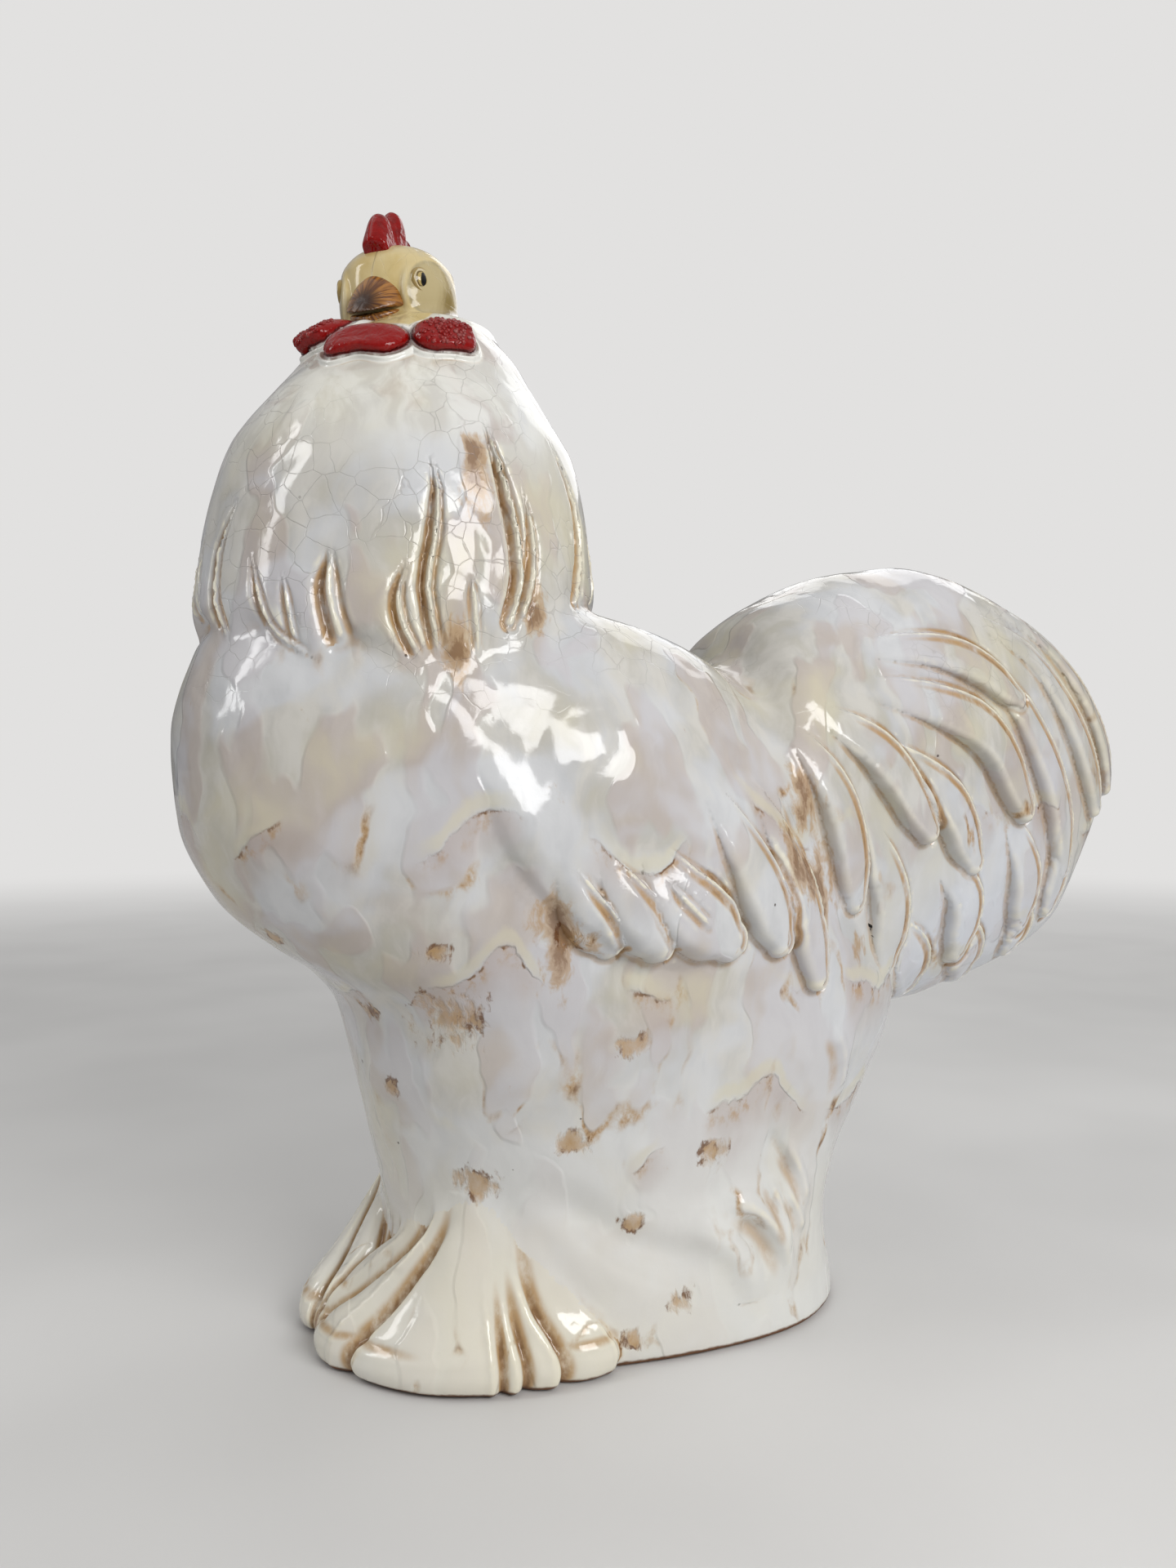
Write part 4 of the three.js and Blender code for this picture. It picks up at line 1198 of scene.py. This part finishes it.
# %% [markdown]
# ## Grains on the ear lobes
# The ear lobes were dabbed with a coarse sponge, so small grains of clay stand on them. Geometry
# Nodes strews them: points on the lobe, a squashed bead on each, all realised into one mesh. The
# seed is fixed, so the grains fall the same way each time.

# %% A tree that strews beads
BEAD_FACES, BEAD_HEIGHT, BEAD_SIZES = 20, .62, (.6, 1.25)


def bead_tree():
    tree = bpy.data.node_groups.new("strewn beads", "GeometryNodeTree")
    add = tree.interface.new_socket
    add("Clay", in_out="OUTPUT", socket_type="NodeSocketGeometry")
    add("Clay", in_out="INPUT", socket_type="NodeSocketGeometry")
    for name, kind, value in (("Beads per area", "NodeSocketFloat", 1.0),
                              ("Bead size", "NodeSocketFloat", .001),
                              ("Seed", "NodeSocketInt", 1), ("Finish", "NodeSocketMaterial", None)):
        socket = add(name, in_out="INPUT", socket_type=kind)
        if value is not None:
            socket.default_value = value

    def node(kind, **settings):
        new = tree.nodes.new(kind)
        for key, value in settings.items():
            setattr(new, key, value)
        return new
    start, end = node("NodeGroupInput"), node("NodeGroupOutput")
    strew = node("GeometryNodeDistributePointsOnFaces", distribute_method="POISSON")
    bead = node("GeometryNodeMeshIcoSphere")
    bead.inputs["Radius"].default_value = 1
    bead.inputs["Subdivisions"].default_value = 1
    chance = node("FunctionNodeRandomValue", data_type="FLOAT")
    chance.inputs[2].default_value, chance.inputs[3].default_value = BEAD_SIZES
    grow = node("ShaderNodeMath", operation="MULTIPLY")
    squash = node("ShaderNodeVectorMath", operation="SCALE")
    squash.inputs[0].default_value = (1, 1, BEAD_HEIGHT)
    put, real, paint = (node("GeometryNodeInstanceOnPoints"), node("GeometryNodeRealizeInstances"),
                        node("GeometryNodeSetMaterial"))
    link = tree.links.new
    link(start.outputs["Clay"], strew.inputs["Mesh"])
    link(start.outputs["Beads per area"], strew.inputs["Density Max"])
    link(start.outputs["Bead size"], strew.inputs["Distance Min"])
    link(start.outputs["Seed"], strew.inputs["Seed"])
    link(start.outputs["Seed"], chance.inputs["Seed"])
    link(chance.outputs[1], grow.inputs[0])
    link(start.outputs["Bead size"], grow.inputs[1])
    link(grow.outputs[0], squash.inputs["Scale"])
    link(strew.outputs["Points"], put.inputs["Points"])
    link(strew.outputs["Rotation"], put.inputs["Rotation"])
    link(squash.outputs[0], put.inputs["Scale"])
    link(bead.outputs["Mesh"], put.inputs["Instance"])
    link(put.outputs["Instances"], real.inputs["Geometry"])
    link(real.outputs["Geometry"], paint.inputs["Geometry"])
    link(start.outputs["Finish"], paint.inputs["Material"])
    link(paint.outputs["Geometry"], end.inputs["Clay"])
    return tree


def strewn(name, ground, per_area, size, seed, finish):
    """Beads on the faces of `ground`, as a plain mesh of their own."""
    thing = bpy.data.objects.new(name, ground)
    bpy.context.scene.collection.objects.link(thing)
    tree = bead_tree()
    modifier = thing.modifiers.new("beads", "NODES")
    modifier.node_group = tree
    sockets = {i.name: i.identifier for i in tree.interface.items_tree if i.in_out == "INPUT"}
    for key, value in (("Beads per area", per_area), ("Bead size", size), ("Seed", seed),
                       ("Finish", finish)):
        modifier[sockets[key]] = value
    ready = thing.evaluated_get(bpy.context.evaluated_depsgraph_get())
    mesh = bpy.data.meshes.new_from_object(ready)
    thing.modifiers.remove(modifier)
    thing.data = mesh
    mesh.name = name
    mesh.polygons.foreach_set("use_smooth", np.ones(len(mesh.polygons), bool))
    return thing


# %% [markdown]
# ## Shader arithmetic
# A glaze is a sum of many small effects. Writing them with plus and times is easier to read
# than placing hundreds of nodes, so a `Wire` stands for a socket, and every sign adds the node
# that does the sum. A `Look` is the material that the nodes are added to.

# %% Wires and looks
class Wire:
    def __init__(self, look, socket):
        self.look, self.socket = look, socket

    def _sum(self, operation, *values):
        return self.look.node("ShaderNodeMath", {"operation": operation}, dict(enumerate(values)))

    def __add__(self, other):
        return self._sum("ADD", self, other)

    def __sub__(self, other):
        return self._sum("SUBTRACT", self, other)

    def __rsub__(self, other):
        return self._sum("SUBTRACT", other, self)

    def __mul__(self, other):
        return self._sum("MULTIPLY", self, other)

    __radd__, __rmul__ = __add__, __mul__

    def __abs__(self):
        return self._sum("ABSOLUTE", self)

    def larger(self, other):
        return self._sum("MAXIMUM", self, other)

    def step(self, low, high):
        """Nothing below `low`, one above `high`, and soft between."""
        values = {"Value": self, "From Min": low, "From Max": high}
        return self.look.node("ShaderNodeMapRange", {"interpolation_type": "SMOOTHSTEP"}, values)

    def band(self, middle, width):
        return 1 - abs(self - middle).step(width * .2, width)


class Look:
    def __init__(self, name):
        self.material = bpy.data.materials.new(name)
        self.material.use_nodes = True
        self.tree = self.material.node_tree
        self.shader = self.tree.nodes["Principled BSDF"]
        self.place = self.vector("SCALE", self.node("ShaderNodeTexCoord", out="Object"), scale=1 / MM)

    def node(self, kind, settings=None, values=None, out=0):
        new = self.tree.nodes.new(kind)
        for key, value in (settings or {}).items():
            setattr(new, key, value)
        self.feed(new, values or {})
        return Wire(self, new.outputs[out])

    def feed(self, node, values):
        for key, value in values.items():
            if isinstance(value, Wire):
                self.tree.links.new(value.socket, node.inputs[key])
            else:
                node.inputs[key].default_value = value

    def vector(self, operation, a, b=None, scale=None):
        values = {0: a} | ({1: b} if b is not None else {}) | ({3: scale} if scale is not None else {})
        return self.node("ShaderNodeVectorMath", {"operation": operation}, values)

    def split(self, place):
        one = self.node("ShaderNodeSeparateXYZ", None, {0: place})
        return [Wire(self, out) for out in one.socket.node.outputs]

    def noise(self, place, size, detail=2.0, rough=.5, out="Fac"):
        values = {"Vector": place, "Scale": 1 / size, "Detail": detail, "Roughness": rough}
        return self.node("ShaderNodeTexNoise", None, values, out)

    def cells(self, place, size, feature="F1", dimensions="3D", out="Distance"):
        settings = {"feature": feature, "voronoi_dimensions": dimensions}
        return self.node("ShaderNodeTexVoronoi", settings, {"Vector": place, "Scale": 1 / size}, out)

    def warped(self, place, size, amount):
        push = self.vector("SUBTRACT", self.noise(place, size, 2, .5, "Color"), (.5, .5, .5))
        return self.vector("ADD", place, self.vector("SCALE", push, scale=amount))

    def shifted(self, place, by):
        return self.vector("ADD", place, by)

    def mix(self, mask, a, b):
        return self.node("ShaderNodeMix", {"data_type": "RGBA"}, {0: mask, 6: a, 7: b}, 2)

    def mark(self, name):
        return self.node("ShaderNodeAttribute", {"attribute_name": name}, None, "Fac")

    def finish(self, colour, rough, height=None, **plain):
        self.feed(self.shader, {"Base Color": colour, "Roughness": rough} | plain)
        if height is not None:
            values = {"Height": height, "Distance": MM, "Strength": 1.0}
            self.feed(self.shader, {"Normal": self.node("ShaderNodeBump", None, values, "Normal")})
        return self.material


def tint(r, g, b):
    """A colour as a paint chip gives it, 0 to 255, turned into what the shader wants."""
    shares = [v / 255 for v in (r, g, b)]
    return (*[((v + .055) / 1.055) ** 2.4 if v > 10 / 255 else v / 12.92 for v in shares], 1)


# %% [markdown]
# ## The milky glaze
# The figure was dipped in an opaque white glaze over a brown one. Where the white is thick it
# is milky and mauve, and it ran down in tongues with round ends. Where it is thin round the
# grooves, the tan and brown below show through, and grooves and dips also get painted shade in
# tan and brown; crests get a painted highlight. Fine grey cracks and pinholes finish it. Every
# clay part gets the same glaze from the same places, so nothing shows at a seam.

# %% Glaze colours
GREY_WHITE, PEARL, MAUVE = tint(198, 195, 188), tint(176, 173, 166), tint(176, 162, 156)
CREAM, BLUE_WHITE, MILK = tint(206, 199, 172), tint(204, 208, 216), tint(225, 224, 217)
# the pale white in the middle of the next line is a painted highlight for crests
WARM_CREAM, CREST_HIGHLIGHT, CRACK_GREY = tint(222, 212, 186), tint(228, 222, 202), tint(140, 132, 128)
TAN, BROWN, DARK, CLAY = tint(172, 134, 80), tint(104, 66, 34), tint(56, 34, 20), tint(148, 110, 76)
KHAKI, PALE_KHAKI, OLIVE = tint(188, 164, 104), tint(214, 200, 160), tint(124, 105, 56)
LID_LINE = tint(84, 70, 34)
CRIMSON, DEEP_RED, THIN_RED = tint(132, 12, 10), tint(86, 7, 7), tint(196, 88, 70)


# %% Patterns that every layer is drawn with
class Glaze(Look):
    """A look with the slow and the quick patterns that all the layers of the glaze share."""
    def __init__(self, name):
        super().__init__(name)
        place = self.place
        self.x, self.y, self.z = self.split(place)
        wander = self.warped(place, 38, 30)
        self.runny = self.vector("MULTIPLY", wander, (1, 1, .36))
        self.cloud, self.streak = self.noise(wander, 66, 3), self.noise(self.runny, 15, 4, .55)
        self.fine = self.noise(place, 4.5, 4, .6)
        torn = self.vector("MULTIPLY", self.shifted(place, (50, 9, 3)), (1, 1, .7))
        self.ragged = self.noise(torn, 8, 4, .62)
        wispy = self.vector("MULTIPLY", self.warped(place, 14, 10), (1, 1, .45))
        self.wisp = self.noise(wispy, 9, 4, .65)
        self.bend = self.mark("bend")
        self.crest, self.dip = self.bend.step(-.05, -.22), self.bend.step(.03, .16)


def white_veils(look, thick, cream):
    """The milky white: pearl streaks, mauve where it ran thick, cream and blue clouds."""
    cloud, streak = look.cloud, look.streak
    colour = look.mix((streak + .4 * cloud).step(.55, .85), GREY_WHITE, PEARL)
    colour = look.mix(thick * (.35 + .5 * streak), colour, MAUVE)
    colour = look.mix((cloud + .3 * streak).step(.64, .86) * .6, colour, CREAM)
    colour = look.mix((cloud - .25 * streak).step(.4, .26) * .5, colour, BLUE_WHITE)
    low_back = look.y.step(60, 200) * look.z.step(300, 150)
    colour = look.mix(low_back * .8, colour, BLUE_WHITE)
    foot_and_neck = look.z.step(170, 30) + look.z.step(385, 425) * streak.step(.35, .6)
    colour = look.mix(foot_and_neck * .7, colour, MILK)
    return look.mix(cream * (.5 + cloud), colour, WARM_CREAM) if cream else colour


def runs(look):
    """Thick runs, and their lower ends: the same runs looked up higher, less themselves."""
    size, higher = 26, (0, 0, 3.2)
    thick = look.noise(look.runny, size, 1.5).step(.5, .55)
    thick_above = look.noise(look.shifted(look.runny, higher), size, 1.5).step(.5, .55)
    stained = look.noise(look.shifted(look.place, (17, 60, 5)), 52, 1).step(.5, .62)
    ends = (thick_above - thick).larger(0) * (stained * look.z.step(330, 290))
    return thick, ends * look.ragged.step(.36, .6), ends * look.ragged.step(.55, .68) * .8


# %% Fronts where a dip of glaze ended
# level, how far its tongues hang down, how wide they are, and a shift of the pattern
FRONTS = [(252, 16, 47, 31), (186, 24, 40, 77), (118, 20, 44, 119)]


def dip_fronts(look, colour, tan, dark, height):
    ragged = look.ragged
    for level, drop, width, shift in FRONTS:
        cell = look.shifted(look.warped(look.place, 30, 14), (shift, -shift, 0))
        tongue = look.cells(cell, width, "SMOOTH_F1", "2D")
        lag = look.split(look.cells(cell, width, "SMOOTH_F1", "2D", "Color"))[0]
        hanging = (2.4 * drop) * tongue * tongue
        front = look.z - level + drop + 34 * (lag - .5) - hanging + 8 * (ragged - .5)
        here = look.noise(look.shifted(look.place, (0, shift, 7 * shift)), 50, 1).step(.48, .62)
        colour = look.mix(front.band(5, 6) * here * .5, colour, CREAM)
        stain = front.step(-34, -2) * front.step(.8, -.8) * here
        colour = look.mix(stain * (.2 + .6 * look.streak), colour, MAUVE)
        below = front.step(-12, -1) * front.step(.6, -.6)
        tan = (below * here * ragged.step(.48, .66) * .8).larger(tan)
        dark = (front.band(-.6, 1.4) * here * ragged.step(.5, .62) * .8).larger(dark)
        height = height + .5 * front.step(-1, 1.2) * here
    return colour, tan, dark, height


# %% Grooves, brown runs and bare patches
def worn_glaze_and_painted_light(look, colour, tan, dark):
    """Tan and brown where the white is thin, which in grooves and dips is also painted shade;
    the clay in the few bare patches; and a painted highlight on crests.
    """
    groove, ragged = look.mark("groove"), look.ragged
    grain = ragged + .5 * look.streak
    # tan and brown in grooves and dips: partly the brown glaze below, partly painted shade
    thin_and_shaded = groove.step(.12, .6) * grain.step(.35, .85)
    deep = groove.step(.55, .9) * grain.step(.5, .95) * .75
    brown_run = look.mark("brown") + 1.7 * (look.wisp - .5)
    tan = tan.larger(thin_and_shaded).larger(look.dip * .6 * grain.step(.45, .9))
    tan = tan.larger(brown_run.step(.3, .62) * .75)
    dark = dark.larger(deep).larger(brown_run.step(.58, .85) * .6)
    patch = look.mark("bare") + 1.9 * (look.wisp - .5)
    bare = patch.step(.4, .8)
    colour = look.mix(tan * .85, colour, TAN)
    colour = look.mix(bare * (.15 + 1.1 * ragged), colour, TAN)
    scorched = patch.band(.6, .2) * ragged.step(.5, .62) * .85
    colour = look.mix((dark + scorched).larger(0), colour, BROWN)
    # crests get a painted highlight in pale white
    return look.mix(look.crest * .8 * (1 - bare), colour, CREST_HIGHLIGHT), bare


def cracks_and_pinholes(look, colour):
    crack = look.cells(look.warped(look.place, 12, 5), 12, "DISTANCE_TO_EDGE").step(.02, .005)
    crack = crack * (look.noise(look.place, 60, 1).step(.42, .58) * look.z.step(280, 330))
    colour = look.mix(crack * .26, colour, CRACK_GREY)
    hole_place = look.shifted(look.place, (3, 8, 5))
    pick = look.split(look.cells(hole_place, 19, out="Color"))[0].step(.7, .72)
    hole = look.cells(hole_place, 19).step(.045, .028) * pick
    return look.mix(hole * .85, colour, DARK), crack, hole


# %% Paint on the face and the ruff
def painted_face(look, colour):
    """Khaki, with an olive disc on the cheek that has a broken dark line round it, and a painted
    highlight in cream on the crests.
    """
    ragged = look.ragged
    lid = look.mark("lid") + 1.2 * (ragged - .5)
    khaki = look.mix(lid.step(16.2, 14.8) * .9, KHAKI, OLIVE)
    khaki = look.mix(lid.band(15, 1.5) * ragged.step(.3, .55) * .75, khaki, LID_LINE)
    khaki = look.mix((look.cloud + look.streak).step(.8, 1.2) * .5, khaki, PALE_KHAKI)
    # a painted highlight in cream on the crests of the face
    khaki = look.mix(look.crest * .4, khaki, CREAM)
    return look.mix((look.mark("face") + 2 * (ragged - .5)).step(-.7, .7), colour, khaki)


def painted_ruff(look, colour):
    """Red on the wattle and the ear lobes, with a brown line and a white rim round it."""
    ragged = look.ragged
    red = look.mark("red") + .8 * (ragged - .5)
    edge = look.mix(red.step(-4.6, -3.0), colour, MILK)
    edge = look.mix(red.band(-.9, .7) * ragged.step(.4, .6) * .7, edge, BROWN)
    crimson = look.mix(look.dip.larger(look.streak.step(.55, .8) * .5), CRIMSON, DEEP_RED)
    crimson = look.mix(look.bend.step(-.26, -.5) * .4, crimson, THIN_RED)
    brushed = look.noise(look.warped(look.place, 9, 8), 4.2, 2) * red.step(0, 1)
    return look.mix(red.step(-1.0, .1), edge, crimson), brushed


# %% The whole glaze
def glazed(name, cream=0.0, shine=.5):
    look = Glaze(name)
    thick, tan, dark = runs(look)
    colour = white_veils(look, thick, cream)
    height = .8 * look.noise(look.place, 24, 2) + .08 * look.fine + .35 * thick
    colour, tan, dark, height = dip_fronts(look, colour, tan, dark, height)
    colour, bare = worn_glaze_and_painted_light(look, colour, tan, dark)
    colour, crack, hole = cracks_and_pinholes(look, colour)
    colour, brushed = painted_ruff(look, painted_face(look, colour))
    foot_rim = (look.z + 2.2 * (look.ragged - .5)).step(3.6, 2.2)
    colour = look.mix(foot_rim, colour, BROWN)
    rough = .07 + .06 * look.fine + .22 * bare + .25 * hole + .5 * foot_rim
    height = height + .9 * brushed - .4 * bare - .5 * hole - .12 * crack
    return look.finish(colour, rough, height, **{"Specular IOR Level": shine})


finishes = {"white_glaze": glazed("white glaze"), "cream_glaze": glazed("cream glaze", .3),
            "face_glaze": glazed("face glaze", 0, .4), "red_glaze": glazed("red glaze", 0, .3)}
print("glazes", len(finishes), "nodes in each", len(finishes["white_glaze"].node_tree.nodes))

# %% [markdown]
# ## Comb, beak, eyes and bare clay
# The red of the comb is a thick, shiny glaze that thins to a pale line on sharp rims. The beak
# is amber with brown streaks that gather at the tip. The eyes were painted with a brush: a
# cream ring, an olive disc and a black pupil. The slab below is bare clay, matt and gritty.

# %% Red comb
look = Look("red comb glaze")
blotch, speck = look.noise(look.place, 9, 3), look.noise(look.place, 2.2, 3)
crest = look.mark("bend").step(-.42, -.8)
colour = look.mix(blotch.step(.45, .75), CRIMSON, DEEP_RED)
colour = look.mix(crest * .5 * speck.step(.3, .6), colour, tint(190, 96, 78))
height = .8 * look.noise(look.place, 4.2, 2) + .08 * speck
finishes["comb_glaze"] = look.finish(colour, .07 + .06 * speck, height, **{"Specular IOR Level": .3})

# %% Amber beak
look = Look("beak glaze")
reach, around = look.mark("reach"), look.mark("around")
fan = look.node("ShaderNodeCombineXYZ", None, {0: around * 9.0, 1: reach * 2.2})
streak = look.noise(fan, 1.0, 3, .6)
speck = look.noise(look.place, 2.0, 3)
colour = look.mix(streak.step(.4, .64), tint(158, 106, 46), tint(92, 52, 22))
colour = look.mix(reach.step(.66, .93), colour, DARK)
colour = look.mix(look.mark("bend").step(-.3, -.7) * .6, colour, tint(70, 42, 22))
finishes["beak_glaze"] = look.finish(colour, .09 + .08 * speck, .3 * streak + .06 * speck)

# %% Painted eyes
look = Look("eye glaze")
wobble = .7 * (look.noise(look.place, 1.6, 2) - .5)
disc, pupil = look.mark("disc") + wobble, look.mark("pupil") + wobble
colour = look.mix(disc.step(5.0, 5.4), tint(172, 150, 92), tint(150, 128, 76))
colour = look.mix(disc.band(5.3, .75), colour, tint(214, 202, 172))
colour = look.mix(disc.band(4.3, .6) * .8, colour, DARK)
colour = look.mix(pupil.step(4.0, 3.6), colour, tint(14, 12, 11))
rough = .05 + .05 * look.noise(look.place, 3)
finishes["eye_glaze"] = look.finish(colour, rough, .05 * look.noise(look.place, 1.5))

# %% Bare clay
look = Look("bare clay")
grit, blush = look.noise(look.place, 1.1, 3, .7), look.noise(look.place, 34, 3)
colour = look.mix(blush.step(.35, .7), CLAY, tint(120, 84, 56))
colour = look.mix(grit.step(.6, .75) * .5, colour, tint(196, 168, 132))
height = .5 * grit + .4 * look.noise(look.place, 7)
finishes["bare_clay"] = look.finish(colour, .78 + .14 * grit, height)
print("finishes", sorted(finishes))

# %% [markdown]
# ## Putting the parts in place
# Each part takes its finish, hangs under one root, and hides the imported solid it stands for. Only
# the floor slab stays as it was imported, with its bare clay laid on.

# %% Registering
FINISH_OF = {"foot_left": "cream_glaze", "foot_right": "cream_glaze", "head": "face_glaze",
             "comb": "red_glaze", "beak_upper": "beak_glaze", "beak_lower": "beak_glaze",
             "eye_left": "eye_glaze", "eye_right": "eye_glaze"}
FINISH_OF.update({r[0]: "red_glaze" for r in RUFF})
parts = dict(body, comb=comb, beak_upper=beak_upper, beak_lower=beak_lower, **eyes)
for node, thing in parts.items():
    finish = FINISH_OF.get(node, "white_glaze")
    thing.data.materials.append(finishes["comb_glaze" if node == "comb" else finish])
    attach(thing, "root")
    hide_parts(node)
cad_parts["floor_slab"].material_slots[0].material = finishes["bare_clay"]
print("parts", len(parts), "faces", sum(len(p.data.polygons) for p in parts.values()))

# %% Grains on the lobes
BEADS_PER_AREA, BEAD_SIZE, FROM_EDGE = 300000.0, .0012, 2.2
for node, seed in (("earlobe_left", 4), ("earlobe_right", 9)):
    wide = body[node].data
    inner = np.zeros(len(wide.vertices), np.float32)
    wide.attributes["red"].data.foreach_get("value", inner)
    corners = np.array([p.vertices[:] for p in wide.polygons])
    spots = np.array([v.co[:] for v in wide.vertices]) / MM
    face_out = np.array([p.normal[:] for p in wide.polygons])
    outside = ((spots[corners].mean(1) - spots.mean(0)) * face_out).sum(1) > 0
    ground = build(node + "_ground", spots, corners[(inner[corners].min(1) > FROM_EDGE) & outside])
    mesh = ground.data
    bpy.data.objects.remove(ground)
    grains = strewn(node + "_grains", mesh, BEADS_PER_AREA, BEAD_SIZE, seed, finishes["red_glaze"])
    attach(grains, "root")
    print(node, "grains", len(grains.data.polygons) // BEAD_FACES)

# %% [markdown]
# ## Camera, floor and light
# The camera stands where the photographer stood: level, at the height of the breast, with a
# wide lens. A large window lights the figure from the right, a narrow strip from the left and
# another window from behind, so the glaze has something bright to mirror. The floor fades into
# the pale wall of the room.

# %% Camera
CAMERA_SPOT, CAMERA_WAY, LENS, SENSOR = (.5438, -.2445, .264), (-.9063, .4226, 0), 26.25, 36
scene = bpy.context.scene
lens = bpy.data.cameras.new("camera")
lens.lens, lens.sensor_width = LENS, SENSOR
lens.clip_start, lens.clip_end = .01, 50
watcher = bpy.data.objects.new("camera", lens)
scene.collection.objects.link(watcher)
watcher.location = CAMERA_SPOT
watcher.rotation_euler = Vector(CAMERA_WAY).to_track_quat("-Z", "Y").to_euler()
scene.camera = watcher

# %% Room
WALL, ZENITH, NADIR, SKY_STRENGTH = tint(226, 225, 224), (1, 1, 1, 1), (.2, .2, .21, 1), .68
world = bpy.data.worlds.new("room")
scene.world = world
world.use_nodes = True
tree = world.node_tree
tree.nodes.clear()
wall, sky = tree.nodes.new("ShaderNodeBackground"), tree.nodes.new("ShaderNodeBackground")
wall.inputs["Color"].default_value = WALL
sky.inputs["Strength"].default_value = SKY_STRENGTH
path, choice = tree.nodes.new("ShaderNodeLightPath"), tree.nodes.new("ShaderNodeMixShader")
end, way = tree.nodes.new("ShaderNodeOutputWorld"), tree.nodes.new("ShaderNodeTexCoord")
split, ramp = tree.nodes.new("ShaderNodeSeparateXYZ"), tree.nodes.new("ShaderNodeValToRGB")
for stop, colour in zip(ramp.color_ramp.elements, (NADIR, ZENITH)):
    stop.color = colour
for a, b in ((way.outputs["Generated"], split.inputs[0]), (split.outputs["Z"], ramp.inputs[0]),
             (ramp.outputs[0], sky.inputs["Color"]), (path.outputs["Is Camera Ray"], choice.inputs[0]),
             (sky.outputs[0], choice.inputs[1]), (wall.outputs[0], choice.inputs[2]),
             (choice.outputs[0], end.inputs["Surface"])):
    tree.links.new(a, b)

# %% Floor
FLOOR_HALF, FADE_FROM, FADE_TO = 9, 900, 3200
look = Look("pale floor")
away = look.node("ShaderNodeVectorMath", {"operation": "LENGTH"}, {0: look.place}, "Value")
far = away.step(FADE_FROM, FADE_TO)
shade = look.noise(look.place, 260, 2)
colour = look.mix(shade.step(.3, .7), tint(214, 213, 211), tint(206, 205, 203))
floor_look = look.finish(colour, .55 + .1 * shade)
glow = look.node("ShaderNodeEmission", None, {"Color": WALL})
camera_only = look.node("ShaderNodeLightPath", None, None, "Is Camera Ray")
lit = Wire(look, look.shader.outputs[0])
both = look.node("ShaderNodeMixShader", None, {0: far * camera_only, 1: lit, 2: glow})
look.tree.links.new(both.socket, look.tree.nodes["Material Output"].inputs["Surface"])
floor_mesh = bpy.data.meshes.new("floor")
corners = [(x * FLOOR_HALF, y * FLOOR_HALF, 0) for x, y in ((-1, -1), (1, -1), (1, 1), (-1, 1))]
floor_mesh.from_pydata(corners, [], [(0, 1, 2, 3)])
floor = bpy.data.objects.new("floor", floor_mesh)
scene.collection.objects.link(floor)
floor.data.materials.append(floor_look)
print("camera at", CAMERA_SPOT, "floor", 2 * FLOOR_HALF, "m")


# %% Windows
AIM = (0, 0, .25)


def window(name, spot, wide, tall, power):
    lamp = bpy.data.lights.new(name, "AREA")
    lamp.shape, lamp.size, lamp.size_y, lamp.energy = "RECTANGLE", wide, tall, power
    thing = bpy.data.objects.new(name, lamp)
    scene.collection.objects.link(thing)
    thing.location = spot
    thing.rotation_euler = (Vector(AIM) - Vector(spot)).to_track_quat("-Z", "Y").to_euler()


window("window", (1.22, .27, .86), .85, .52, 13)
window("strip", (-.15, -1.35, 1.05), .22, 1.0, 4.5)
window("back_window", (-1.1, 1.2, 1.5), 1.3, 1.1, 6)
scene.view_settings.view_transform = "Standard"
